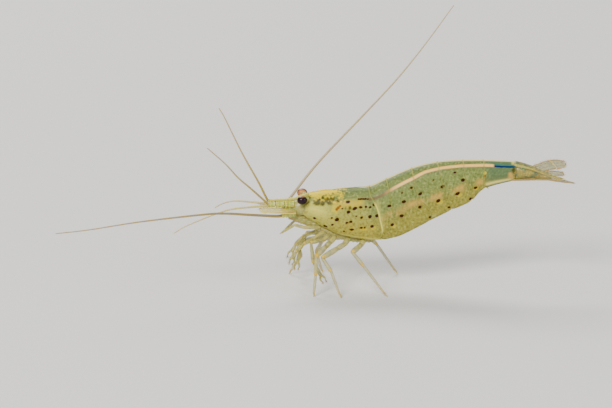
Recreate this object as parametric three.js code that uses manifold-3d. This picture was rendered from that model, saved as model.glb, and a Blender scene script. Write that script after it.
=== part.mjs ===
// A life-size freshwater shrimp, standing on its last three pairs of legs, as a group of named solids.
// Millimetres, +Z up, the head towards -X, so its left side is towards -Y. The feet stand on z = 0.
import * as THREE from "three";
import { mergeVertices } from "three/addons/utils/BufferGeometryUtils.js";
import Module from "manifold-3d";

const wasm = await Module();
wasm.setup();

// ---------------------------------------------------------------- driving dimensions

const JOINT_GAP = 0.1; // clear space between two neighbouring pieces
const THIN = 0.25; // half thickness of the thinnest leg, feeler or fin
const BODY_SIDES = 20; // facets round the body
const LIMB_SIDES = 6; // facets round a leg or a fin
const WHIP_SIDES = 5; // facets round a feeler
const FLAT_SIDES = 8; // facets round a flat blade or the base of a feeler
const FORM_SIDES = 14; // facets round the head, the sternum and the mouthparts

// A body form is a list of cross-sections from front to back: the mid-back point and the mid-belly point,
// each [x, z], half the width, and how round the lower half is (1 is an ellipse, less is squarer).
const BODY = [
  { top: [-1.4, 14.35], low: [-2.3, 10.9], half: 1.55, round: 0.8 },
  { top: [0.7, 14.7], low: [0.0, 9.7], half: 2.15, round: 0.7 },
  { top: [3.1, 14.95], low: [2.9, 8.3], half: 2.65, round: 0.5 },
  { top: [5.5, 15.15], low: [6.2, 7.6], half: 2.9, round: 0.42 },
  { top: [7.75, 15.4], low: [9.4, 7.35], half: 2.8, round: 0.36 },
  { top: [10.3, 16.55], low: [12.2, 8.0], half: 2.7, round: 0.24 },
  { top: [14.05, 18.2], low: [16.0, 9.9], half: 2.6, round: 0.22 },
  { top: [17.9, 19.15], low: [19.8, 11.8], half: 2.35, round: 0.22 },
  { top: [21.7, 19.4], low: [22.9, 13.25], half: 2.0, round: 0.24 },
  { top: [24.8, 19.4], low: [25.0, 15.2], half: 1.6, round: 0.4 },
  { top: [29.6, 19.25], low: [29.4, 16.4], half: 1.2, round: 0.85 },
];
const HEAD = [
  { top: [-3.9, 13.2], low: [-3.9, 11.25], half: 1.15, round: 0.8 },
  { top: [-2.8, 13.6], low: [-2.8, 10.95], half: 1.45, round: 0.8 },
  { top: [-0.9, 14.0], low: [-0.9, 10.9], half: 1.5, round: 0.8 },
];
const STERNUM = [
  { top: [-0.6, 10.2], low: [-0.9, 9.2], half: 0.8, round: 0.7 },
  { top: [2.0, 9.2], low: [1.8, 7.9], half: 1.2, round: 0.6 },
  { top: [5.2, 8.6], low: [5.2, 6.95], half: 1.35, round: 0.6 },
  { top: [8.6, 8.2], low: [8.8, 6.8], half: 1.1, round: 0.7 },
];
const MOUTHPARTS = [
  { top: [-3.0, 11.4], low: [-3.2, 10.3], half: 0.55, round: 0.9 },
  { top: [-1.6, 11.0], low: [-1.9, 9.6], half: 0.85, round: 0.9 },
  { top: [0.2, 10.6], low: [-0.2, 9.0], half: 0.8, round: 0.9 },
];
const NECK = 4; // section number of the carapace's back edge
const TAIL_ROOT = 10; // section number of the last segment's back edge
const SEGMENTS = 6; // of the abdomen, one section long each
const SECTION_GAP = 0.02; // half of the gap between two shell plates, in sections
const PLEURON_REACH = 0.3; // how far the second side plate spreads over its neighbours, in sections
const PLEURON_CORNER = 0.07; // how much the corners of a side plate are rounded off
const FLESH_SHARE = 0.6; // depth of the flesh above the swimming legs, as a share of the body's depth
const BACK_FULLNESS = 0.85; // how round the upper half of every section is
// The hollow between the side plates runs on past them, in sections, and below them, in body depths.
const HOLLOW = { sides: 12, steps: 10, overrun: 0.3, below: 0.3, fullness: 0.35 };

const ROSTRUM = {
  back: [[-7.2, 13.3], [-4.0, 13.5], [-1.6, 14.25], [1.9, 15.0]], // from the tip to inside the carapace
  depth: 0.8,
  teeth: 15,
  tooth: 0.2,
  rise: 0.8, // the share of a tooth that its long slope takes
  underGap: 1.5, // the spacing of the teeth below, in teeth above
};
const ROSTRUM_ROOM = { length: 8, height: 4, x: -3, z: 13.3 }; // a box round the blade's back half
const EYE = { x: -2.3, out: 2.4, z: 13.85, radius: 0.72, sides: 12, rings: 8 };
const EYESTALK = { root: [-1.6, 0.9, 13.4], radius: 0.45, sides: 10 };

// Lines of limbs and feelers. The middle value of a point is its distance from the middle plane, outwards.
const ANTENNULE_STEM = {
  line: [[-3.4, 0.8, 12.75], [-7.4, 0.95, 12.75]],
  radii: [0.52, 0.5, 0.44, 0.48, 0.42, 0.46, 0.4, 0.36],
};
const ANTENNULES = {
  outer_left: [[-7.55, 1.1, 13.1], [-10, 1.7, 15.5], [-11.8, 2.2, 17.2], [-13.8, 2.9, 19.6],
    [-16.4, 3.9, 22.2]],
  outer_right: [[-7.55, 1.1, 13.1], [-8.9, 1.3, 15.8], [-11.3, 2.1, 20.0], [-13.9, 3.3, 25.1],
    [-14.8, 3.6, 26.6]],
  inner_left: [[-7.55, 0.75, 12.55], [-10, 1.2, 12.5], [-13.8, 1.7, 12.05], [-19.2, 2.5, 10.1],
    [-21.5, 2.8, 8.85]],
  inner_right: [[-7.55, 0.75, 12.55], [-11.3, 1.2, 12.8], [-12.75, 1.5, 12.75], [-14.25, 1.8, 12.3],
    [-15.5, 2.1, 11.55]],
};
const ANTENNA_BASE = { line: [[-3.3, 1.3, 11.6], [-5.2, 1.9, 11.35]], radii: [0.5, 0.45, 0.35] };
const ANTENNA_LENGTHS = 3;
const ANTENNA_RADII = [0.3, THIN, THIN];
const ANTENNAE = {
  left: [[-5.3, 1.9, 11.35], [-6.3, 2.2, 11.35], [-10.1, 3.6, 11.9], [-13.8, 5.2, 12.5],
    [-17.2, 6.7, 12.7], [-26.2, 11, 12.7], [-33.6, 14.4, 12.35], [-38.3, 16.4, 12.3]],
  right: [[-5.3, 2.0, 11.35], [-4.9, 3.2, 11.7], [-3.7, 4.0, 13.2], [0.26, 6, 17.8],
    [7, 9.2, 24.3], [11.9, 11.6, 29.1], [16.2, 13.8, 34.0], [20.8, 16.4, 39.8]],
};
const ANTENNA_SCALE = {
  line: [[-3.2, 1.6, 11.85], [-8.7, 1.85, 12.2]],
  droop: -0.25,
  half: 0.85,
  shape: [0.4, 0.85, 1, 1, 0.95, 0.75, 0.3], // its width from root to tip, as shares of half
};
const MOUTH_LEGS = {
  left: [[0.4, 1.0, 9.3], [-2.0, 1.75, 9.5], [-3.4, 1.8, 9.9], [-5.6, 1.5, 8.5]],
  right: [[0.4, 1.0, 9.3], [-2.0, 1.75, 9.5], [-3.4, 1.8, 9.7], [-5.1, 1.4, 8.1]],
};
const CLAW_LEGS = {
  "1_left": [[0.9, 1.0, 8.6], [-0.2, 1.8, 8.0], [-2.0, 2.6, 7.2], [-3.2, 2.5, 6.0], [-4.0, 2.0, 4.0]],
  "1_right": [[0.9, 1.0, 8.6], [-0.2, 1.6, 8.1], [-2.2, 1.9, 7.2], [-3.3, 1.8, 5.9], [-4.3, 1.5, 4.1]],
  "2_left": [[1.7, 1.1, 8.2], [0.9, 1.9, 7.6], [-1.0, 3.4, 7.6], [-0.6, 3.9, 4.6], [1.0, 3.6, 1.6]],
  "2_right": [[1.7, 1.1, 8.2], [0.9, 1.9, 7.6], [-1.6, 3.1, 7.5], [-2.6, 3.6, 4.9], [-3.2, 3.1, 1.8]],
};
const WALKING_LEGS = {
  "3_left": [[2.6, 1.2, 7.9], [1.9, 2.0, 7.3], [-0.2, 5.2, 5.95], [-0.3, 6.1, 3.25], [-0.6, 6.4, 0]],
  "3_right": [[2.6, 1.2, 7.9], [1.8, 2.1, 7.3], [-3.0, 4.6, 5.6], [-2.5, 5.5, 3.1], [-4.4, 6.8, 0]],
  "4_left": [[4.6, 1.3, 7.6], [4.0, 2.2, 7.0], [0.7, 5.2, 5.7], [2.0, 6.3, 3.9], [3.5, 7.2, 0]],
  "4_right": [[4.4, 1.3, 7.6], [3.7, 2.2, 7.0], [1.0, 5.4, 6.0], [-0.2, 6.5, 3.6], [0.8, 7.4, 0]],
  "5_left": [[6.9, 1.3, 7.4], [6.5, 2.2, 6.9], [5.2, 4.6, 6.4], [6.8, 5.6, 4.6], [10.4, 6.6, 0]],
  "5_right": [[6.9, 1.3, 7.4], [6.8, 2.2, 6.9], [7.2, 5.0, 6.9], [9.0, 6.0, 4.9], [12.2, 6.8, 0]],
};
const LEG_RADII = [0.38, 0.38, 0.36, 0.3, THIN];
const CLAW_LEG_RADII = [0.34, 0.34, 0.32, 0.36, 0.45];
const MOUTH_LEG_RADII = [0.34, 0.34, 0.3, THIN];
const JOINT_REACH = 0.4; // how far the bend at a joint spreads along the two lengths it joins
const FOOT_SINK = 0.4; // how far a foot runs on past the floor before it is cut flat
const FLOOR_SIZE = 100; // of the block below the floor that cuts the feet
const CLAW = { length: 0.9, open: 0.4, overlap: 0.8 }; // overlap is the share of a finger past the palm
const SWIMMERET = {
  length: 3.4,
  lean: 0.9,
  pairs: 5,
  place: 0.4, // of its root along its segment, in sections
  rootShare: 0.5, // depth of its root, as a share of the body's depth
  shortest: 0.4, // the share of the length that doesn't shrink towards the tail
  shape: [0.6, 1, 0.9, 0.5],
};

const TELSON = {
  line: [[29.72, 18.8], [32, 18.2], [35.1, 16.95], [36.8, 16.55]],
  half: 1.05,
  shape: [1, 0.98, 0.9, 0.78, 0.66, 0.54, 0.3], // its width from root to tip, as shares of half
  thick: [0.4, 0.4, THIN],
  sides: 10,
};
const TAIL_FAN = {
  outer_left: {
    rise: 5, // degrees that the blade turns up from level
    line: [[29.0, 1.0, 16.6], [33.0, 2.3, 17.0], [35.5, 2.75, 17.1], [38.3, 2.9, 16.6]],
  },
  inner_left: { rise: 5, line: [[29.0, 0.5, 16.9], [33.0, 1.25, 16.9], [37.6, 1.3, 16.3]] },
  outer_right: {
    rise: 42,
    line: [[29.0, 1.0, 16.6], [33.0, 2.1, 17.6], [35.0, 2.5, 18.1], [37.4, 2.6, 18.2]],
  },
  inner_right: { rise: 25, line: [[29.0, 0.5, 16.9], [33.0, 1.2, 17.1], [37.0, 1.35, 17.0]] },
};
const FAN_HALVES = { outer: 0.85, inner: 0.62 };
const FAN_SHAPE = [0.35, 0.5, 0.7, 0.9, 1, 1, 0.9, 0.6]; // a blade's width from root to tip, as shares

const MATERIALS = {
  shell: new THREE.MeshStandardMaterial({ color: 0xa3a872, roughness: 0.35 }),
  fin: new THREE.MeshStandardMaterial({ color: 0xb9ad88, roughness: 0.25 }),
  leg: new THREE.MeshStandardMaterial({ color: 0xb7a67c, roughness: 0.4 }),
  feeler: new THREE.MeshStandardMaterial({ color: 0xa48f58, roughness: 0.45 }),
  eye: new THREE.MeshStandardMaterial({ color: 0x2a1a20, roughness: 0.1 }),
};

// ---------------------------------------------------------------- making and cutting solids

// A closed tube: every point of a unit cylinder moves to place(along, angle, out). along runs from 0 to 1,
// angle is 0 on the back and 90 degrees towards +Y, and out is 0 in the middle of an end, 1 on the wall.
function shapedTube(sides, steps, place) {
  const tube = new THREE.CylinderGeometry(1, 1, 1, sides, steps);
  const positions = tube.attributes.position;
  const spot = new THREE.Vector3();
  for (let i = 0; i < positions.count; i++) {
    spot.fromBufferAttribute(positions, i);
    const moved = place(0.5 - spot.y, Math.atan2(spot.x, spot.z), Math.hypot(spot.x, spot.z));
    positions.setXYZ(i, moved.x, moved.y, moved.z);
  }
  return toSolid(tube);
}

function toSolid(geometry) {
  const bare = geometry.clone();
  bare.deleteAttribute("normal");
  bare.deleteAttribute("uv");
  const merged = mergeVertices(bare, 1e-4);
  return new wasm.Manifold(
    new wasm.Mesh({
      numProp: 3,
      vertProperties: new Float32Array(merged.attributes.position.array),
      triVerts: new Uint32Array(merged.index.array),
    }),
  );
}

function toGeometry(solid) {
  const mesh = solid.getMesh();
  const geometry = new THREE.BufferGeometry();
  geometry.setAttribute("position", new THREE.BufferAttribute(mesh.vertProperties, 3));
  geometry.setIndex(new THREE.BufferAttribute(mesh.triVerts, 1));
  geometry.computeVertexNormals();
  return geometry;
}

// Cuts a solid clear of its neighbours and keeps the largest part that is left.
function cutClear(solid, neighbours) {
  const left = neighbours.reduce((rest, neighbour) => rest.subtract(neighbour), solid);
  return left.decompose().sort((a, b) => b.volume() - a.volume())[0];
}

const shrimp = new THREE.Group();

function addPiece(name, solid, material) {
  const mesh = new THREE.Mesh(toGeometry(solid), material);
  mesh.name = name;
  shrimp.add(mesh);
}

// A value that runs through stops at even shares, such as a radius from root to tip.
function graded(...stops) {
  return (share) => {
    const place = THREE.MathUtils.clamp(share, 0, 1) * (stops.length - 1);
    const low = Math.min(Math.floor(place), stops.length - 2);
    return THREE.MathUtils.lerp(stops[low], stops[low + 1], place - low);
  };
}

// ---------------------------------------------------------------- body forms

function smoothLine(points) {
  return new THREE.CatmullRomCurve3(points, false, "catmullrom", 0.5);
}

// How far out to the side a point of a section is, from -1 to 1; a low fullness makes the section squarer.
function sideways(angle, fullness) {
  const sine = Math.sin(angle);
  return Math.abs(sine) < 1e-9 ? 0 : Math.sign(sine) * Math.abs(sine) ** fullness;
}

// A function that gives the point of a body form at a section number and an angle from the back. grow moves
// the surface outwards, and a depth under 1 stops the section short of the belly.
function bodyForm(sections) {
  const backLine = smoothLine(sections.map((s) => new THREE.Vector3(s.top[0], 0, s.top[1])));
  const bellyLine = smoothLine(sections.map((s) => new THREE.Vector3(s.low[0], 0, s.low[1])));
  const girths = smoothLine(sections.map((s) => new THREE.Vector3(s.half, s.round, 0)));
  return (section, angle, out, grow = 0, depth = 1) => {
    const share = THREE.MathUtils.clamp(section / (sections.length - 1), 0, 1);
    const top = backLine.getPoint(share);
    const down = bellyLine.getPoint(share).sub(top);
    const length = down.length();
    down.normalize();
    const girth = girths.getPoint(share);
    const fall = (1 - Math.cos(angle)) / 2;
    const fullness = Math.cos(angle) > 0 ? BACK_FULLNESS : girth.y;
    const across = (girth.x + grow) * sideways(angle, fullness);
    const drop = THREE.MathUtils.lerp(0.5, fall, out) * (length + 2 * grow) * depth - grow;
    return top.addScaledVector(down, drop).add(new THREE.Vector3(0, across * out, 0));
  };
}

// A stretch of a form between two edges, each a section number that may change with the angle.
function stretch(form, steps, front, back, { grow = 0, corner = 0, sides = BODY_SIDES } = {}) {
  return shapedTube(sides, steps, (along, angle, out) => {
    const section = THREE.MathUtils.lerp(front(angle), back(angle), along);
    const depth = 1 - corner * Math.abs(2 * along - 1) ** 3;
    return form(section, angle, out, grow, depth);
  });
}

// A whole form, and a copy grown by the joint gap on every side, to cut its neighbours clear of it.
function wholeForm(sections, steps) {
  const form = bodyForm(sections);
  const last = sections.length - 1;
  const solid = stretch(form, steps, () => 0, () => last, { sides: FORM_SIDES });
  const grown = stretch(form, steps, () => 0, () => last, { sides: FORM_SIDES, grow: JOINT_GAP });
  return { solid, grown };
}

const body = bodyForm(BODY);
const carapace = stretch(body, 8, () => 0, () => NECK - SECTION_GAP);
const grownCarapace = stretch(body, 8, () => 0, () => NECK, { grow: JOINT_GAP });
addPiece("carapace", carapace, MATERIALS.shell);

// How far down the side an angle is, from 0 at mid-height to 1 at the belly.
function lowness(angle) {
  return THREE.MathUtils.smoothstep(-Math.cos(angle), 0.1, 1);
}

// The space between the side plates, where the swimming legs hang, or less of it by a margin.
function bellyHollow(margin = 0) {
  const end = NECK + SEGMENTS - 1;
  return shapedTube(HOLLOW.sides, HOLLOW.steps, (along, angle, out) => {
    const section = THREE.MathUtils.lerp(NECK - HOLLOW.overrun, end + HOLLOW.overrun, along);
    const back = body(section, 0, 1);
    const belly = body(section, Math.PI, 1);
    const roof = back.clone().lerp(belly, FLESH_SHARE);
    const floor = belly.clone().lerp(back, -HOLLOW.below);
    const spot = roof.lerp(floor, THREE.MathUtils.lerp(0.5, (1 - Math.cos(angle)) / 2, out));
    const half = hollowHalf(section) - margin;
    return spot.add(new THREE.Vector3(0, half * sideways(angle, HOLLOW.fullness) * out, -margin));
  });
}

function hollowHalf(section) {
  return body(section, Math.PI / 2, 1).y - 2 * THIN;
}

const hollow = bellyHollow();
for (let i = 0; i < SEGMENTS; i++) {
  const edge = (number, angle) => {
    const spread = { 1: -PLEURON_REACH, 2: PLEURON_REACH }[number] ?? 0;
    return NECK + number + spread * lowness(angle);
  };
  const front = (angle) => edge(i, angle) + SECTION_GAP;
  const back = (angle) => edge(i + 1, angle) - SECTION_GAP;
  const isLast = i === SEGMENTS - 1;
  const whole = stretch(body, 4, front, back, { corner: isLast ? 0 : PLEURON_CORNER });
  addPiece(`abdomen_${i + 1}`, isLast ? whole : whole.subtract(hollow), MATERIALS.shell);
}

const head = wholeForm(HEAD, 4);
addPiece("head", cutClear(head.solid, [grownCarapace]), MATERIALS.shell);

const sternum = wholeForm(STERNUM, 6);
addPiece("sternum", cutClear(sternum.solid, [grownCarapace]), MATERIALS.shell);

const mouth = wholeForm(MOUTHPARTS, 4);
addPiece("mouthparts", cutClear(mouth.solid, [grownCarapace, head.grown, sternum.grown]), MATERIALS.leg);

const trunk = [grownCarapace, head.grown, sternum.grown, mouth.grown];

// ---------------------------------------------------------------- rostrum

// A saw-toothed blade in the middle plane: teeth all along its back and fewer under its front half.
function rostrumOutline() {
  const { back, depth, teeth, tooth, rise, underGap } = ROSTRUM;
  const edge = new THREE.SplineCurve(back.map((point) => new THREE.Vector2(...point)));
  const depthAt = graded(2 * THIN, depth, depth);
  const outline = new THREE.Shape();
  const lineTo = (share, drop) => {
    const spot = edge.getPoint(share);
    outline.lineTo(spot.x, spot.y - drop);
  };
  outline.moveTo(back[0][0], back[0][1] - depthAt(0));
  for (let i = 0; i < teeth; i++) {
    lineTo(i / teeth, -tooth / 2);
    lineTo((i + rise) / teeth, tooth / 2);
  }
  lineTo(1, depth);
  for (let i = Math.round(teeth / 3); i > 0; i--) {
    const share = (underGap * i) / teeth;
    lineTo(share, depthAt(share));
    lineTo(share - rise / teeth, depthAt(share) + tooth / 2);
  }
  return outline;
}

const blade = new THREE.ExtrudeGeometry(rostrumOutline(), { depth: 2 * THIN, bevelEnabled: false });
blade.translate(0, 0, -THIN).rotateX(Math.PI / 2);
addPiece("rostrum", cutClear(toSolid(blade), [grownCarapace, head.grown]), MATERIALS.shell);
const rostrumRoom = new THREE.BoxGeometry(
  ROSTRUM_ROOM.length,
  2 * (THIN + JOINT_GAP),
  ROSTRUM_ROOM.height,
).translate(ROSTRUM_ROOM.x, 0, ROSTRUM_ROOM.z);
const frontParts = [...trunk, toSolid(rostrumRoom)];

// ---------------------------------------------------------------- sweeps along a line

const SIDEWAYS = new THREE.Vector3(0, 1, 0);

// Rings for a sweep: each has its centre, its share of the way, and two directions across the line, which
// are carried along it without a twist.
function carryFrames(rings, across) {
  let side = across;
  for (const ring of rings) {
    side = side.clone().addScaledVector(ring.heading, -side.dot(ring.heading)).normalize();
    ring.side = side;
    ring.up = new THREE.Vector3().crossVectors(ring.heading, side);
  }
  return rings;
}

function curveRings(curve, steps, across = SIDEWAYS, from = 0, to = 1) {
  const shares = Array.from({ length: steps + 1 }, (_, i) => THREE.MathUtils.lerp(from, to, i / steps));
  const rings = shares.map((share) => ({
    share,
    centre: curve.getPointAt(share),
    heading: curve.getTangentAt(share),
  }));
  return carryFrames(rings, across);
}

// Rings of a jointed limb: each joint between two straight lengths has three, so the bend stays firm.
function limbRings(joints) {
  const headings = joints.slice(1).map((joint, i) => joint.clone().sub(joints[i]).normalize());
  const last = joints.length - 1;
  const rings = [];
  joints.forEach((joint, i) => {
    const before = headings[Math.max(i - 1, 0)];
    const after = headings[Math.min(i, last - 1)];
    const middle = before.clone().add(after).normalize();
    const bend = [[-JOINT_REACH, before], [0, middle], [JOINT_REACH, after]];
    const turns = i > 0 && i < last ? bend : [[0, middle]];
    for (const [reach, heading] of turns) {
      rings.push({ share: i / last, centre: joint.clone().addScaledVector(heading, reach), heading });
    }
  });
  return carryFrames(rings, SIDEWAYS);
}

// A solid whose section is an ellipse, half-wide and half-thick as two functions of the share.
function sweep(rings, wide, thick = wide, sides = LIMB_SIDES) {
  return shapedTube(sides, rings.length - 1, (along, angle, out) => {
    const ring = rings[Math.round(along * (rings.length - 1))];
    return ring.centre.clone()
      .addScaledVector(ring.side, wide(ring.share) * Math.sin(angle) * out)
      .addScaledVector(ring.up, thick(ring.share) * Math.cos(angle) * out);
  });
}

function sideOf(name) {
  return name.endsWith("left") ? -1 : 1;
}

function placed(points, sign) {
  return points.map(([x, out, z]) => new THREE.Vector3(x, sign * out, z));
}

// ---------------------------------------------------------------- eyes and feelers

for (const side of ["left", "right"]) {
  const sign = sideOf(side);
  const [eye, stalkRoot] = placed([[EYE.x, EYE.out, EYE.z], EYESTALK.root], sign);
  const eyeball = (radius) => {
    const ball = new THREE.SphereGeometry(radius, EYE.sides, EYE.rings);
    return toSolid(ball.translate(eye.x, eye.y, eye.z));
  };
  addPiece(`eye_${side}`, eyeball(EYE.radius), MATERIALS.eye);
  const stalkRings = curveRings(new THREE.LineCurve3(stalkRoot, eye), 2, new THREE.Vector3(0, 0, 1));
  const stalk = sweep(stalkRings, () => EYESTALK.radius, undefined, EYESTALK.sides);
  const eyeRoom = eyeball(EYE.radius + JOINT_GAP);
  addPiece(`eyestalk_${side}`, cutClear(stalk, [eyeRoom, ...frontParts]), MATERIALS.shell);

  const stemRings = curveRings(new THREE.LineCurve3(...placed(ANTENNULE_STEM.line, sign)), 7);
  const stem = sweep(stemRings, graded(...ANTENNULE_STEM.radii), undefined, FLAT_SIDES);
  addPiece(`antennule_stem_${side}`, cutClear(stem, frontParts), MATERIALS.shell);

  const scaleLine = new THREE.LineCurve3(...placed(ANTENNA_SCALE.line, sign));
  const scaleRings = curveRings(scaleLine, 7, new THREE.Vector3(0, sign, ANTENNA_SCALE.droop));
  const scaleShape = graded(...ANTENNA_SCALE.shape);
  const scale = (grow) => {
    const wide = (share) => ANTENNA_SCALE.half * scaleShape(share) + grow;
    return sweep(scaleRings, wide, () => THIN + grow, FLAT_SIDES);
  };
  addPiece(`antenna_scale_${side}`, cutClear(scale(0), trunk), MATERIALS.fin);

  const [baseRoot, baseEnd] = placed(ANTENNA_BASE.line, sign);
  const base = (grow) => {
    const end = baseEnd.clone().add(baseEnd.clone().sub(baseRoot).setLength(grow));
    const radius = graded(...ANTENNA_BASE.radii);
    const rings = curveRings(new THREE.LineCurve3(baseRoot, end), 3);
    return sweep(rings, (share) => radius(share) + grow, undefined, FLAT_SIDES);
  };
  addPiece(`antenna_base_${side}`, cutClear(base(0), [...trunk, scale(JOINT_GAP)]), MATERIALS.shell);

  const whip = smoothLine(placed(ANTENNAE[side], sign));
  const gap = JOINT_GAP / whip.getLength();
  for (let i = 0; i < ANTENNA_LENGTHS; i++) {
    const [from, to] = [i + gap, i + 1 - gap].map((place) => place / ANTENNA_LENGTHS);
    const rings = curveRings(whip, 7, SIDEWAYS, from, to);
    const whipPart = sweep(rings, graded(...ANTENNA_RADII), undefined, WHIP_SIDES);
    addPiece(`antenna_${i + 1}_${side}`, cutClear(whipPart, [base(JOINT_GAP)]), MATERIALS.feeler);
  }
}

for (const [name, points] of Object.entries(ANTENNULES)) {
  const rings = curveRings(smoothLine(placed(points, sideOf(name))), 8);
  addPiece(`antennule_${name}`, sweep(rings, () => THIN, undefined, WHIP_SIDES), MATERIALS.feeler);
}

// ---------------------------------------------------------------- legs

function flatFeet(leg) {
  const block = new THREE.BoxGeometry(FLOOR_SIZE, FLOOR_SIZE, FLOOR_SIZE);
  return leg.subtract(toSolid(block.translate(0, 0, -FLOOR_SIZE / 2)));
}

for (const [name, points] of Object.entries(MOUTH_LEGS)) {
  const leg = sweep(limbRings(placed(points, sideOf(name))), graded(...MOUTH_LEG_RADII));
  addPiece(`mouth_leg_${name}`, cutClear(leg, trunk), MATERIALS.leg);
}

// A pincer: two fingers that part from the end of the palm.
function fingers(joints, side) {
  const tip = joints[joints.length - 1];
  const heading = tip.clone().sub(joints[joints.length - 2]).normalize();
  return [-1, 1].map((which) => {
    const root = tip.clone().addScaledVector(heading, -CLAW.length);
    root.addScaledVector(side, which * THIN);
    const end = tip.clone().addScaledVector(side, which * CLAW.open);
    const rings = curveRings(new THREE.LineCurve3(root, end), 1, side);
    return sweep(rings, () => THIN, undefined, WHIP_SIDES);
  });
}

// The joints of a limb with its tip moved along the last length by a distance.
function withTipMoved(joints, distance) {
  const [last, tip] = joints.slice(-2);
  const moved = tip.clone().addScaledVector(tip.clone().sub(last).normalize(), distance);
  return [...joints.slice(0, -1), moved];
}

for (const [name, points] of Object.entries(CLAW_LEGS)) {
  const joints = placed(points, sideOf(name));
  const rings = limbRings(withTipMoved(joints, -CLAW.length * CLAW.overlap));
  const arm = sweep(rings, graded(...CLAW_LEG_RADII));
  const claw = fingers(joints, rings[rings.length - 1].side);
  addPiece(`claw_leg_${name}`, cutClear(arm.add(claw[0]).add(claw[1]), trunk), MATERIALS.leg);
}

for (const [name, points] of Object.entries(WALKING_LEGS)) {
  const rings = limbRings(withTipMoved(placed(points, sideOf(name)), FOOT_SINK));
  const leg = flatFeet(sweep(rings, graded(...LEG_RADII)));
  addPiece(`walking_leg_${name}`, cutClear(leg, trunk), MATERIALS.leg);
}

// ---------------------------------------------------------------- swimming legs and tail

const swimmeretRoom = bellyHollow(JOINT_GAP);
for (let i = 0; i < SWIMMERET.pairs; i++) {
  const section = NECK + i + SWIMMERET.place;
  const room = hollowHalf(section);
  const back = body(section, 0, 1);
  const root = back.clone().lerp(body(section, Math.PI, 1), SWIMMERET.rootShare);
  const size = room / hollowHalf(NECK);
  const length = SWIMMERET.length * THREE.MathUtils.lerp(SWIMMERET.shortest, 1, size);
  const heading = new THREE.Vector3(SWIMMERET.lean, 0, -1).normalize();
  for (const side of ["left", "right"]) {
    const start = root.clone().setY((sideOf(side) * room) / 2);
    const tip = start.clone().addScaledVector(heading, length);
    const rings = curveRings(new THREE.LineCurve3(start, tip), 3);
    const half = (room - JOINT_GAP) / 2;
    const limb = sweep(rings, graded(...SWIMMERET.shape.map((share) => share * half)), () => THIN);
    addPiece(`swimmeret_${i + 1}_${side}`, limb.intersect(swimmeretRoom), MATERIALS.fin);
  }
}

const telsonLine = smoothLine(TELSON.line.map(([x, z]) => new THREE.Vector3(x, 0, z)));
function telson(grow) {
  const width = graded(...TELSON.shape);
  const thick = graded(...TELSON.thick);
  const wide = (share) => TELSON.half * width(share) + grow;
  return sweep(curveRings(telsonLine, 7), wide, (share) => thick(share) + grow, TELSON.sides);
}
addPiece("telson", telson(0), MATERIALS.shell);

const tailBlock = stretch(body, 2, () => TAIL_ROOT - 1, () => TAIL_ROOT, { grow: JOINT_GAP });
const fanWidth = graded(...FAN_SHAPE);
function fanBlade(name, grow) {
  const { line, rise } = TAIL_FAN[name];
  const half = FAN_HALVES[name.split("_")[0]];
  const sign = sideOf(name);
  const slope = THREE.MathUtils.degToRad(rise);
  const across = new THREE.Vector3(0, sign * Math.cos(slope), Math.sin(slope));
  const rings = curveRings(smoothLine(placed(line, sign)), 8, across);
  return sweep(rings, (share) => half * fanWidth(share) + grow, () => THIN + grow, FLAT_SIDES);
}
for (const side of ["left", "right"]) {
  const kept = [tailBlock, telson(JOINT_GAP)];
  addPiece(`tail_fan_outer_${side}`, cutClear(fanBlade(`outer_${side}`, 0), kept), MATERIALS.fin);
  kept.push(fanBlade(`outer_${side}`, JOINT_GAP));
  addPiece(`tail_fan_inner_${side}`, cutClear(fanBlade(`inner_${side}`, 0), kept), MATERIALS.fin);
}

export default shrimp;
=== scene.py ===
import math

import bpy
import numpy as np
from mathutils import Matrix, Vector


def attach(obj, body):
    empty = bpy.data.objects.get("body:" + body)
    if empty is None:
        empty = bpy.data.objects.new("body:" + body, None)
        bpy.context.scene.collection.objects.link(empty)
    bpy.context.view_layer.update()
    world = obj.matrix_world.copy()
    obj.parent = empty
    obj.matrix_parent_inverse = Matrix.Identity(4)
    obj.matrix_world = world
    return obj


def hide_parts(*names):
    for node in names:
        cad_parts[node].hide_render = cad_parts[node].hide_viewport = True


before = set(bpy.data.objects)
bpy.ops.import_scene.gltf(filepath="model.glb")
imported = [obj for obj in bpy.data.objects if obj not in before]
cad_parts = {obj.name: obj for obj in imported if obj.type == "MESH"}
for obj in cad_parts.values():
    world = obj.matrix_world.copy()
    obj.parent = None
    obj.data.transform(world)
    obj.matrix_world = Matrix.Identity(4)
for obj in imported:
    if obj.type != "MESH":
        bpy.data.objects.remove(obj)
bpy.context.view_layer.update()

bl_info = {
    "name": "Freshwater Shrimp",
    "version": (1, 0, 0),
    "blender": (4, 5, 0),
    "location": "View3D > Sidebar > Shrimp",
    "description": "Builds a life-size freshwater shrimp over its solid parts",
    "category": "Object",
}

MM = 0.001  # every shape below is worked out in millimetres, head towards -X, left side towards -Y
BODY_NAME = "root"

# The camera and its lights.
IMAGE_WIDTH = 612  # pixels
PIXEL_SIZE = 0.15  # mm across one pixel, at the shrimp
VIEW_CENTRE = (-1.73, 0, 12.68)  # mm
SENSOR_WIDTH = 36.0  # mm
FLOOR_SIZE, FLOOR_PLACE = 6.0, (0, 1.5, 0)  # metres
LIGHT_TARGET = (0, 0, 0.01)  # metres
SKY = (0.95, 0.96, 1.0, 1.0)
# Each light's place and size in metres, its share of the key light's power, and its colour.
LIGHTS = {
    "key_light": ((-0.25, 0.6, 0.6), 0.4, 0.7, (1.0, 0.98, 0.94)),
    "front_light": ((-0.3, -0.7, 0.6), 0.35, 1.1, (1.0, 0.97, 0.93)),
    "side_light": ((0.7, -0.45, 0.4), 0.5, 0.25, (0.93, 0.96, 1.0)),
}

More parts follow.
